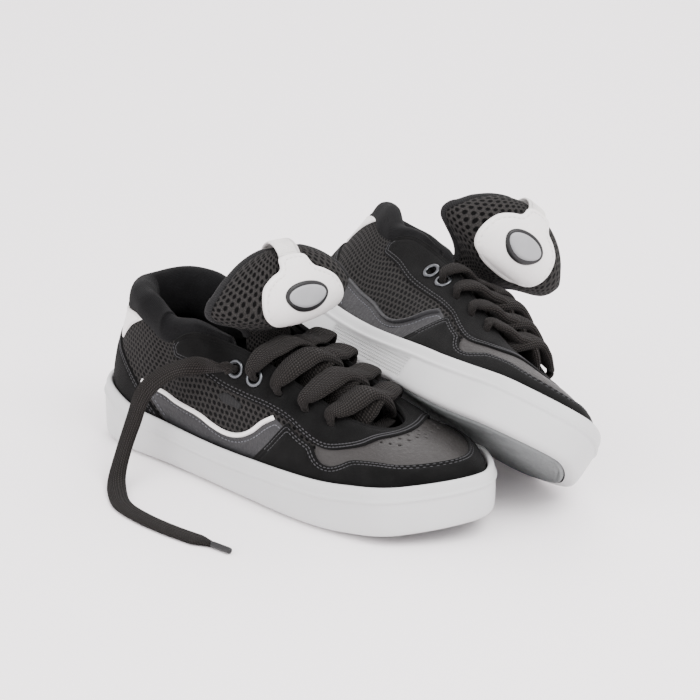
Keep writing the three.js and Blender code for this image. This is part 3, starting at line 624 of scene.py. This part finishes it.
def on_skin(points, height):
    return skin(points[:, 0] / FLAT[0] / 360, points[:, 1] / FLAT[1] / 100,
                np.full(len(points), 1.0) * height)


def panel(name, points, look, *, base=0.0, thick=2.5, edge=1.5, rows=(), thread="thread", grid=2.6, holes=(),
          puff=0.0,
          keep=lambda a, b: b > 14, corner=50, dip=0.0, mapping=on_skin, rest_edge=None, groove=0.45, **rest):
    """A cut piece with a rolled edge, stitch grooves and stitches, laid on the shoe."""
    loop = outline_of(points, corner=corner) if not isinstance(points, np.ndarray) else points
    rings = rest_edge or sorted({0.3, 0.8, edge + 0.1, *[r + k for r in rows for k in (-0.7, 0, 0.7)],
                                 edge + 4.2})
    flat, faces = filled(loop, rings, grid, holes)
    d = distance(flat, loop)
    x = np.clip(d / edge, 0, 1)
    height = base - 0.4 + (thick + 0.4) * np.sqrt(1 - (1 - x) ** 2) + puff * (1 - np.exp(-d / 9))
    for r in rows:
        height -= groove * np.exp(-((d - r) / 0.75) ** 2)
    flags = np.zeros(len(faces), int)
    for hx, hy, r in holes:
        rho = np.hypot(flat[:, 0] - hx, flat[:, 1] - hy) / r
        height = np.where(rho < 0.9, base - 1.6 + dip, np.where(rho < 1.1, height - 0.35, height))
        inner = rho < 0.92
        flags |= np.array([inner[list(f)].all() for f in faces])
    world = mapping(flat, height)
    world = mapping(flat, height + wobble(world, 11, 0.28))
    for r in rows:
        sew(thread, loop, r, base + thick + puff * (1 - math.exp(-r / 9)) - groove + 0.12, keep, mapping,
            **{k: rest[k] for k in ("part", "sides") if k in rest})
    # Faces inside the holes take the near-black look: painted shade in the holes.
    return place(name, world, faces, flat, look, flags=flags, extra="dark" if holes else None, **rest)


# Cupsole: one moulded ring with a bead line, and a dimpled field on the inner arch.
around = np.arange(360) / 360
rim = rim_at(outline_at(around)[:, 1])
PROFILE = [  # inset, height above the ground (part 0) or above the rim (part 1)
    (7.3, 1.5, 0), (3.4, 1.5, 0), (1.6, 1.9, 0), (0.5, 3.0, 0), (0.05, 5.0, 0), (-0.25, 8.5, 0),
    (-0.3, -15.0, 1),
    (-0.2, -10.6, 1), (0.1, -9.6, 1), (-0.45, -9.0, 1), (-0.95, -8.3, 1), (-0.85, -7.5, 1), (-0.1, -6.9, 1),
    (0.3, -6.3, 1), (0.4, -4.4, 1), (0.8, -2.0, 1), (1.5, -0.6, 1), (2.4, 0.0, 1), (3.4, 0.0, 1),
    (4.2, -0.5, 1), (4.5, -1.6, 1), (4.5, -9.0, 1),
]
centre_y = outline_at(around)[:, 1]
is_field = (around > 0.5) * ease(centre_y, -62, -60) * (1 - ease(centre_y, 36, 38))
rows = []
for inset, z, from_rim in PROFILE:
    level = np.where(from_rim, rim + z, z)
    sunk = 0.9 * is_field * (level > 4.5) * (level < rim - 10)
    ring_points = outline_at(around, inset + sunk)
    ring_points[:, 2] = level + lift(ring_points[:, 1])
    rows.append(ring_points)
rows = np.array(rows).transpose(1, 0, 2)
count, size = rows.shape[:2]
sole_faces, sole_flags = [], []
for i in range(count):
    for j in range(size - 1):
        k = (i + 1) % count
        sole_faces.append((i * size + j, k * size + j, k * size + j + 1, i * size + j + 1))
        sole_flags.append(int(is_field[i] > 0.5 and is_field[k] > 0.5 and 4 <= j <= 6))
perimeter = np.cumsum(np.linalg.norm(np.roll(rows[:, 8], -1, 0) - rows[:, 8], axis=1))
sole_uvs = np.stack([np.repeat(perimeter, size), rows[..., 2].ravel()], 1)
place("cupsole", rows.reshape(-1, 3), sole_faces, sole_uvs, "rubber", node="cupsole", slot="sole",
      flags=sole_flags, extra="dimpled")

# Tread: a slab whose underside carries rows of chevron blocks.
lengthwise, crosswise = 210, 56
share = np.linspace(0, 1, crosswise)
tread_points = []
for k in range(lengthwise + 1):
    t = 0.006 + 0.488 * k / lengthwise
    a, b = outline_at(np.array([t]), [8.3])[0], outline_at(np.array([1 - t]), [8.3])[0]
    line = a + (b - a) * share[:, None]
    chevron = np.abs((line[:, 0] / 9) % 2 - 1) * 5 + line[:, 1]
    relief = 0.95 * ease(np.abs(chevron / 5.2 % 1 - 0.5), 0.1, 0.19)
    edge_near = np.minimum(share, 1 - share) * np.linalg.norm(b - a)
    relief = relief * ease(edge_near, 2.5, 4)
    low = line.copy()
    low[:, 2] = relief + 1.2 * (1 - ease(edge_near, 0, 1.2)) + lift(line[:, 1])
    high = line[::-1].copy()
    high[:, 2] = 4 + lift(high[:, 1])
    tread_points.append(np.vstack([low, high]))
tread_rows = np.array(tread_points)
place("tread", tread_rows.reshape(-1, 3), tube(tread_rows), tread_rows.reshape(-1, 3)[:, :2], "tread",
      node="tread", slot="tread")

# Upper, base layer.
EYELET_TURNS = [93.5, 101, 110.5, 121.5, 132.5]
EYELET_LEVEL = 77
EYELET_HOLE, RING_RADIUS, RING_WIRE = 3.4, 4.6, 1.25
eyelets = [(a * 2.0, EYELET_LEVEL * 0.8) for a in EYELET_TURNS]
eyelets += [((360 - a) * 2.0, EYELET_LEVEL * 0.8) for a in EYELET_TURNS]
quarter = [(15, 4), (128, 4), (128, 60), (116, 68), (86, 68), (76, 99), (15, 99)]
for suffix, shape in (("lateral", quarter), ("medial", flip(quarter))):
    panel(f"quarter_mesh_{suffix}", shape, "mesh", thick=0.5, puff=0.9, node=f"quarter_mesh_{suffix}",
          slot="mesh")
side_half = [(126, 4), (126, 58), (148, 70), (160, 90), (180, 96)]
vamp_outline = [*side_half, *flip(side_half)[1:]]
pierced = [(156.5, 74), (161, 72), (164.5, 69), (163, 84), (167, 80), (170, 75), (169.5, 89), (174, 84),
           (175.5, 77)]
pierced += flip(pierced) + [(180, 88), (180, 80), (180, 73)]
panel("vamp", vamp_outline, "vamp", thick=0.6, puff=0.7, grid=2.2,
      holes=[(a * 2.0, b * 0.8, 1.3) for a, b in pierced], node="vamp", slot="grain", dip=0.6)

# Upper, outer layer.
piping_points = [(46, 35.5), (56, 38), (66, 34), (75, 29), (81, 24), (87, 21.5), (93, 23.5), (99, 31),
                 (104, 42), (109, 52)]
piping_line = resampled(through(np.array(piping_points) * FLAT)(np.linspace(0, 1, 300)), 1.3)


def beside(line, amount):
    along = unit(np.gradient(line, axis=0))
    return line + np.stack([-along[:, 1], along[:, 0]], 1) * amount


def mirrored_flat(loop):
    return np.stack([720 - loop[:, 0], loop[:, 1]], 1)[::-1]


strip_loop = np.vstack([beside(piping_line, -1.6), beside(piping_line, 1.6)[::-1]])
below = beside(piping_line, -0.4)
panel_end = resampled(np.array([(110, 52), (119, 44), (121, 26), (110, 3), (59, 3), (58.3, 6), (52.3, 20),
                                (46, 34)])
                      * FLAT, 1.3)
side_loop = np.vstack([below, panel_end])
for suffix, look, strip_look in (("lateral", "side", "white"), ("medial", "side", "side")):
    turned_loop = side_loop if suffix == "lateral" else mirrored_flat(side_loop)
    turned_strip = strip_loop if suffix == "lateral" else mirrored_flat(strip_loop)
    panel(f"side_panel_{suffix}", turned_loop, look, thick=1.5, edge=1.0, puff=0.7, rows=(4.0,),
          thread="grey_thread",
          node=f"side_panel_{suffix}", slot="dark_grain", groove=0.3, keep=lambda a, b: b > 14)
    panel(f"piping_{suffix}", turned_strip, strip_look, base=1.2, thick=2.2, edge=1.6,
          rest_edge=[0.3, 0.8, 1.3],
          node=f"piping_{suffix}", slot="white" if suffix == "lateral" else "dark_grain")
stay_lower = [(64, 92), (64, 78), (74, 68), (86, 57), (99, 55), (108, 56.5), (115, 56), (121, 50),
              (127, 45.5), (132, 46), (139, 53), (146, 62), (155, 76), (166, 84)]
stay = [*stay_lower, (180, 87), *flip(stay_lower), (292, 99), (270, 99), (250, 99), (210, 99), (180, 99),
        (150, 99), (110, 99), (90, 99), (68, 99)]
panel("eyestay", stay, "suede", thick=2.4, rows=(2.2, 4.6), holes=[(x, y, EYELET_HOLE) for x, y in eyelets],
      node="eyestay", slot="suede", keep=lambda a, b: b < 93)
cap_half = [(97, 3), (107, 29), (114.5, 54), (121, 46.4), (126, 43.4), (126.5, 38), (129, 30), (133, 29),
            (137, 34), (142, 42), (152, 44), (164, 39), (172, 37)]
panel("toe_cap", [*cap_half, (180, 37), *flip(cap_half)], "suede", base=0.4, thick=2.3, rows=(2.2, 4.6),
      puff=0.4, node="toe_cap", slot="suede", keep=lambda a, b: b > 20)
panel("heel_backing", [(21, 40), (21, 97), (-21, 97), (-21, 40)], "lining", base=-0.7, thick=0.8, edge=0.6,
      slot="mesh")
counter_half = [(8, 68), (18, 60), (26, 52), (36, 42), (43, 33), (51, 20), (57, 6), (58, 3)]
counter = [(0, 76), *counter_half, *[(-a, b) for a, b in reversed(counter_half)]]
panel("heel_counter", counter, "suede", base=0.2, thick=2.4, rows=(2.2, 4.6), node="heel_counter",
      slot="suede", puff=0.3, keep=lambda a, b: b > 12)
tab_half = [(9, 71), (18, 63), (25, 57), (32, 78), (38, 88), (43, 97), (36, 97), (20, 93)]
tab = [(0, 79), *tab_half, (0, 88), *[(-a, b) for a, b in reversed(tab_half)]]
panel("heel_tab", tab, "white", thick=2.2, rows=(1.8,), thread="white_thread", node="heel_tab", slot="white")
panel("heel_rib", [(0, 88), (20, 93), (30, 99), (-30, 99), (-20, 93)], "binding", thick=1.6, slot="tag")
panel("side_tag", [(84.5, 50), (88, 54), (95, 50), (94, 44), (86, 45)], "tag", base=0.5, thick=1.3, edge=0.8,
      node="side_tag", slot="tag")


def ring_of(radius, thick, count=28, section=8):
    """Points of a torus about +Z, as rows."""
    a = np.arange(count)[:, None] * 2 * math.pi / count
    b = np.arange(section)[None] * 2 * math.pi / section
    r = radius + thick * np.cos(b)
    return np.stack([r * np.cos(a), r * np.sin(a), 0.8 * thick * np.sin(b) + 0 * a], -1)


def frame_on_skin(t, v):
    z = normal(t, v)
    x = unit(np.cross(z, (0, 0, 1)))
    return np.stack([x, np.cross(z, x), z], 1)


for suffix, turn_of in (("lateral", lambda a: a / 360), ("medial", lambda a: 1 - a / 360)):
    for row in (0, 1):
        t = turn_of(EYELET_TURNS[row])
        rows = ring_of(RING_RADIUS,
                       RING_WIRE) @ frame_on_skin(t, EYELET_LEVEL / 100).T + skin(t, EYELET_LEVEL / 100, 2.7)
        swept(f"eyelet_{suffix}_{row + 1}", rows, "ring", {"closed_rows": True},
              node=f"eyelet_{suffix}_{row + 1}", slot="ring")

# Padded collar: one roll from eyestay to eyestay.
COLLAR_END, ROLL, PAD, BACK = 92, 12, 9, -5.9
degrees = np.linspace(COLLAR_END, -COLLAR_END, 150)
collar_rows = []
for a in degrees:
    t = a / 360
    size = 1 - 0.66 * float(ease(abs(a), 55, COLLAR_END))
    edge = surface(t, 1.0)
    out, up = normal(t, 1.0), unit(edge - surface(t, 0.97))
    pad, roll = BACK - PAD * size, ROLL * size
    section = [(0.6, -2.5), (1.6 * size, 0.25 * roll), (0.6, 0.72 * roll), (-0.35 * PAD, 1.04 * roll),
               (0.55 * pad, 1.08 * roll),
               (0.95 * pad, 0.6 * roll), (1.06 * pad, -4 * size), (0.9 * pad, -15 * size),
               (BACK - 1.5, -21 * size), (BACK + 1, -6)]
    dense = through(section, True)(np.arange(30) / 30)
    collar_rows.append(edge + dense[:, :1] * out + dense[:, 1:] * up)
collar_rows = np.array(collar_rows)
centre = collar_rows.mean(1, keepdims=True)
collar_rows += unit(collar_rows - centre) * wobble(collar_rows, 8, 0.55)[..., None]
collars = swept("collar", collar_rows, "collar", node="collar", slot="collar")

# Tongue.
TONGUE_WIDTH, BASE_WIDTH, NECK_WIDTH, TONGUE_PAD, HINGE = 100, 60, 38, 26, 0.615
TONGUE_TWIST = {"right": 17, "left": -9}  # degrees that the free end is turned to the outer side
TWIST_LINE = -10  # the Y of the upright line it turns about
tongue_side = "right"  # whose tongue is being drawn
path = through([(0, 78, 36), (0, 60, 44), (0, 36, 55.5), (0, 12, 68), (0, -8, 80), (0, -15, 93), (0, -9, 106),
                (0, -3, 118), (0, -5, 131), (0, -13, 144)])(np.linspace(0, 1, 1500))
path_run = np.concatenate([[0], np.cumsum(np.linalg.norm(np.diff(path, axis=0), axis=1))])
tongue_length = path_run[-1]


def tongue_frame(s):
    here = np.clip(s, 0, 1) * tongue_length
    at = np.stack([np.interp(here, path_run, path[:, k]) for k in range(3)], -1)
    ahead = np.stack([np.interp(here + 0.6, path_run, path[:, k]) for k in range(3)], -1)
    behind = np.stack([np.interp(here - 0.6, path_run, path[:, k]) for k in range(3)], -1)
    along = unit(ahead - behind)
    return at, np.stack([0 * along[..., 0], along[..., 2], -along[..., 1]], -1)


def tongue_width(s):
    base = BASE_WIDTH / 2 * (0.6 + 0.4 * ease(s, 0, 0.3))
    neck = base + (NECK_WIDTH / 2 - base) * ease(s, 0.48, 0.6)
    return neck + (TONGUE_WIDTH / 2 - neck) * ease(s, 0.66, 0.77)


def tongue_thick(s):
    return 3 + (TONGUE_PAD / 2 - 3) * ease(s, 0.66, 0.8)


def tongue_point(s, across, height):
    sag = 0.026 + (0.004 - 0.026) * ease(s, 0.6, 0.74)
    at, out = tongue_frame(s)
    p = at + out * (height - sag * across**2)[..., None]
    p[..., 0] = across
    twist = np.radians(-TONGUE_TWIST[tongue_side]) * ease(s, 0.62, 0.85)
    x, y = p[..., 0].copy(), p[..., 1] - TWIST_LINE
    p[..., 0] = x * np.cos(twist) - y * np.sin(twist)
    p[..., 1] = x * np.sin(twist) + y * np.cos(twist) + TWIST_LINE
    return p


def signed_power(c, power):
    return np.sign(c) * np.abs(c) ** power


def tongue_rows(values, width, thick, count=56):
    a = np.arange(count) * 2 * math.pi / count
    rows = []
    for s, w, h in zip(values, width, thick):
        across = tongue_width(s) * w * signed_power(np.cos(a), 0.7)
        rows.append(tongue_point(np.full(count, s), across,
                                 tongue_thick(s) * h * signed_power(np.sin(a), 0.7)))
    return np.array(rows)


wedge = 2.6 / tongue_length
low = np.linspace(0, HINGE - wedge, 60)
lower_rows = tongue_rows([*low, HINGE - 0.004], [*np.ones(60), 0.96], [*np.ones(60), 0.3])
swept("tongue_lower", lower_rows, "mesh", node="tongue_lower", slot="mesh")
share = np.linspace(0, 1, 70)
dome = np.sqrt(np.maximum(0.0, 1 - (np.maximum(0, share - 0.25) / 0.77) ** 2.3))
high = HINGE + wedge + (1 - HINGE - wedge) * share


def round_tube(line, radius, count=12, squash=1.0, up=(0, 0, 1)):
    """Rows of a round tube along a line of points."""
    along = unit(np.gradient(line, axis=0))
    across = unit(np.cross(along, np.asarray(up, float)))
    above = np.cross(across, along)
    a = np.arange(count) * 2 * math.pi / count
    size = np.broadcast_to(radius, len(line))[:, None, None]
    sideways = np.cos(a)[:, None] * across[:, None]
    upward = squash * np.sin(a)[:, None] * above[:, None]
    return line[:, None] + size * (sideways + upward)


BADGE = 0.85
BADGE_LEAN = {"right": -12, "left": -3}  # how far the badge's foot is to the outer side of its neck


def on_tongue(points, height):
    s = BADGE + points[:, 1] / tongue_length
    x = points[:, 0] + BADGE_LEAN[tongue_side] * (16 - points[:, 1]) / 36
    face = np.maximum(0, 1 - (np.abs(x) / tongue_width(s)) ** (1 / 0.35)) ** 0.35
    return tongue_point(s, x, tongue_thick(s) * face + height)


def spline_loop(points, scale=1.0, step=1.2):
    dense = through(np.array(points, float) * scale, True)(np.linspace(0, 1, 500, endpoint=False))
    return resampled(dense, step, True)


BADGE_EDGE = [(0, -18.5), (14, -17), (24, -11.5), (28, -4), (25, 4), (17.5, 9), (10.5, 11.5), (8, 16)]
BADGE_EDGE += [(-x, y) for x, y in reversed(BADGE_EDGE[1:])]
ellipse = np.array([(math.cos(a), math.sin(a)) for a in np.linspace(0, 2 * math.pi, 60, endpoint=False)])
EMBLEM_RIM, EMBLEM_FACE = (15.5, 5.8), (13.4, 4.2)
LOOP_HALF_WIDTH, LOOP_HALF_THICK = 7.6, 1.1
edge_s = np.concatenate([high[6:], high[6:-1][::-1]])
edge_w = np.concatenate([dome[6:], -dome[6:-1][::-1]])
loop_line = through([(2, 137.8), (0.5, 144), (-5, 149), (-13, 150), (-19, 146), (-22, 139),
                     (-22, 132)])(np.linspace(0, 1, 80))
loop_rows = []
for (y, z), ahead in zip(loop_line, unit(np.gradient(loop_line, axis=0))):
    side = np.array([0, -ahead[1], ahead[0]])
    corner = [(math.copysign(abs(math.cos(a)) ** 0.35, math.cos(a)) * LOOP_HALF_WIDTH,
               math.sin(a) * LOOP_HALF_THICK) for a in np.arange(20) * 2 * math.pi / 20]
    loop_rows.append([np.array([x, y, z]) + side * h for x, h in corner])
tongues = []
for tongue_side in ("right", "left"):
    free = {"part": "tongue", "sides": (tongue_side,)}
    upper_rows = tongue_rows([HINGE + 0.004, *high], [0.96, *dome], [0.3, *(0.35 + 0.65 * dome)])
    tongues += swept("tongue_upper", upper_rows, "tongue_mesh", node="tongue_upper", slot="mesh",
                     **free).values()
    border = np.array([tongue_point(np.array(s), np.array(tongue_width(s) * w), np.array(0.0))
                       for s, w in zip(edge_s, edge_w)])
    border_rows = round_tube(resampled(border, 1.6), 2.6, 12, 1.0, (0, 1, 0.3))
    swept("tongue_binding", border_rows, "binding", slot="mesh", **free)
    panel("tongue_badge", spline_loop(BADGE_EDGE, 1.06), "white", base=0.4, thick=2.2, rows=(2.4,), grid=2.2,
          thread="white_thread", mapping=on_tongue, node="tongue_badge", slot="badge", keep=lambda a, b: True,
          **free)
    panel("emblem_rim", ellipse * EMBLEM_RIM, "black", base=2.2, thick=1.5, edge=1.2, grid=2,
          mapping=on_tongue, slot="tag", **free)
    panel("emblem", ellipse * EMBLEM_FACE, "grey", base=3.1, thick=1.2, edge=1.4, grid=2, mapping=on_tongue,
          node="emblem", slot="trim", **free)
    angle = math.radians(-TONGUE_TWIST[tongue_side])
    spin = np.array([[math.cos(angle), math.sin(angle), 0], [-math.sin(angle), math.cos(angle), 0],
                     [0, 0, 1]])
    pivot = np.array([0, TWIST_LINE, 0])
    swept("pull_loop", (np.array(loop_rows) - pivot) @ spin + pivot, "loop", node="pull_loop",
          slot="webbing", **free)

# ---- Laces ----
OVER, UNDER, OUTER, INNER_SIDE = 6.4, -5.6, 2.9, -3.9
CROWN, SLANT, TUCK = 12, 9, 0.86
STRIP_WIDTH, STRIP_THICK, TOP_STRIP_THICK = 20, 7, 4.2
LACE_WIDTH, LACE_THICK = 12, 3


def eyelet(side, row):
    a = EYELET_TURNS[row] / 360
    return (a if side > 0 else 1 - a), EYELET_LEVEL / 100


def throat(side, y, depth):
    low, high = 0.2, 0.5
    for _ in range(16):
        middle = (low + high) / 2
        low, high = (middle, high) if top_curve(middle)[1] < y else (low, middle)
    return skin(low if side > 0 else 1 - low, 0.995, depth)


def into_hole(side, row, face):
    t, v = eyelet(side, row)
    n = normal(t, v)
    outwards = np.cross(n, (0, -1, 0)) * side * face
    return [(skin(t, v + 0.05, OVER + 0.4), n * face, 9, 3.6), (skin(t, v, OUTER + 1.6), outwards, 5.2, 3.6),
            (skin(t, v, INNER_SIDE), outwards, 4.6, 3), (skin(t, v + 0.05, UNDER - 0.6), -n * face, 7, 2.6)]


def strip(side, row, face):
    y = skin(eyelet(1, row)[0], EYELET_LEVEL / 100, 0)[1]
    start, end = throat(side, y, OVER), throat(-side, y + SLANT, UNDER - 2)
    end[0] *= TUCK
    base = throat(side, y + SLANT / 2, 0)[2] + (3.6 if side > 0 else 0)
    up = np.array([0, 0, 1.0])
    knots = [(start, np.array([0.5 * side * face, 0, face]), 17, 6 if row > 1 else 4.4)]
    for share, drop in ((0.24, 6), (0.5, 4), (0.76, 9.5)):
        at = start + (end - start) * share
        at[2] = base + CROWN - drop + (0.8 if row > 1 else -1.2)
        knots.append((at, up * face, STRIP_WIDTH, STRIP_THICK if row > 1 else TOP_STRIP_THICK))
    knots.append((end, np.array([-0.7 * side * face, 0, face]), 10, 3))
    return knots


def zigzag(side):
    knots, face = [], 1
    for row in (4, 3, 2, 1):
        knots += strip(side, row, face)[::-1] + into_hole(side, row, face)
        side, face = -side, -face
    return knots


def band(knots, steps, count=20, power=0.75):
    """Rows of a soft flat band through knots of (point, way up, width, thickness)."""
    u = np.linspace(0, 1, steps)
    at, up = through([k[0] for k in knots])(u), through([k[1] for k in knots])(u)
    size = through([(k[2], k[3]) for k in knots])(u)
    along = unit(np.gradient(at, axis=0))
    across = unit(np.cross(along, up))
    above = np.cross(across, along)
    a = np.arange(count) * 2 * math.pi / count
    flat_part, tall_part = signed_power(np.cos(a), 0.8), signed_power(np.sin(a), power)
    return (at[:, None] + across[:, None] * (flat_part[None, :, None] * size[:, None, 0:1] / 2)
            + above[:, None] * (tall_part[None, :, None] * size[:, None, 1:2] / 2)), at


top_t, top_v = eyelet(1, 0)
toward_toe = np.array([0, 1.0, 0])
whole = zigzag(-1)[::-1] + zigzag(1)
tail_sizes = ((7.6, 5.4, 3.6), (4.9, 5, 3.4), (INNER_SIDE, 4.6, 3))  # depth, width, thickness
tail = [(skin(top_t, top_v, d), toward_toe, w, h) for d, w, h in tail_sizes]
tail.append((skin(top_t, top_v, UNDER - 1), normal(top_t, top_v), 6, 2.6))
lace_rows, _ = band(tail + whole, 620)
swept("lace", lace_rows, "lace", node="lace", slot="lace", sides=("right",))
lace_rows, _ = band(whole, 600)
swept("lace", lace_rows, "lace", node="lace", slot="lace", sides=("left",))

# The loose end of the right lace: down the side, then flat along the ground to its aglet.
out = np.array([1.0, 0, 0])
up = np.array([0, 0, 1.0])
route = [((52, -47, 74), out + up), ((58, -57, 68), out + 0.5 * up), ((62, -69, 55), out),
         ((64.5, -76, 36), out),
         ((73, -77, 18), out + 0.7 * up), ((85, -71, 5.5), 0.5 * out + up), ((97, -58, 2), up),
         ((106, -44, 1.8), up), ((111, -24, 1.8), up), ((113, 2, 1.8), up), ((112.5, 22, 1.8), up)]
loose = [(skin(top_t, top_v, 7.6), toward_toe, 5.4, 3.6), (skin(top_t, top_v, 11), toward_toe, 8, 3.4),
         ((44, -34, 77), 0.6 * out + toward_toe, 11, 3.2),
         *[(p, u, LACE_WIDTH, LACE_THICK) for p, u in route],
         ((112, 31, 2), up, 7, 3), ((112, 36, 2.2), up, 3.6, 3)]
loose = [(np.array(p, float), np.array(u, float), w, h) for p, u, w, h in loose]
loose_rows, loose_line = band(loose, 260, 20, 0.6)
cord = swept("lace_end", loose_rows, "lace", node="lace_end", slot="lace", sides=("right",))["right"]
tip = np.linspace(0, 1, 24)
tip_line = np.stack([112 - 0.2 * tip, 35 + 16 * tip, 2.3 - 0.1 * tip], 1)
tip_size = 1.95 * np.sqrt(np.clip(1 - ((tip - 0.5) / 0.505) ** 12, 0.02, 1))
aglet = swept("aglet", round_tube(tip_line, tip_size, 16), "black", node="aglet", slot="tag",
              sides=("right",))["right"]

# ---- Stitches ----
capsule_x = np.array([-0.5, -0.36, 0, 0.36, 0.5])
capsule_r = np.array([0.1, 0.8, 1, 0.8, 0.1])
ring_angle = np.arange(6) * math.pi / 3
for thread, rows in stitch_rows.items():
    for part, sides in (("shoe", ("right", "left")), ("tongue", ("right",)), ("tongue", ("left",))):
        points = []
        for centre, x, y, z, length, owner, where in rows:
            if (owner, where) != (part, sides):
                continue
            for k in range(len(centre)):
                body = centre[k] + capsule_x[:, None, None] * length * x[k]
                circle = np.cos(ring_angle)[:, None] * y[k] * 0.42 + np.sin(ring_angle)[:, None] * z[k] * 0.36
                points.append(body + capsule_r[:, None, None] * circle)
        if not points:
            continue
        shape = np.array(points)
        one = tube(shape[0])
        faces = [tuple(i + 30 * k for i in f) for k in range(len(shape)) for f in one]
        slot = {"thread": "suede", "grey_thread": "dark_grain", "white_thread": "white"}[thread]
        flat_points = shape.reshape(-1, 3)
        place(f"{part}_{thread}", flat_points, faces, flat_points[:, :2], thread, part=part, slot=slot,
              sides=sides)

size = {"cad": [list(c) for c in cad_bounds], "look": [list(c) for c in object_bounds()]}
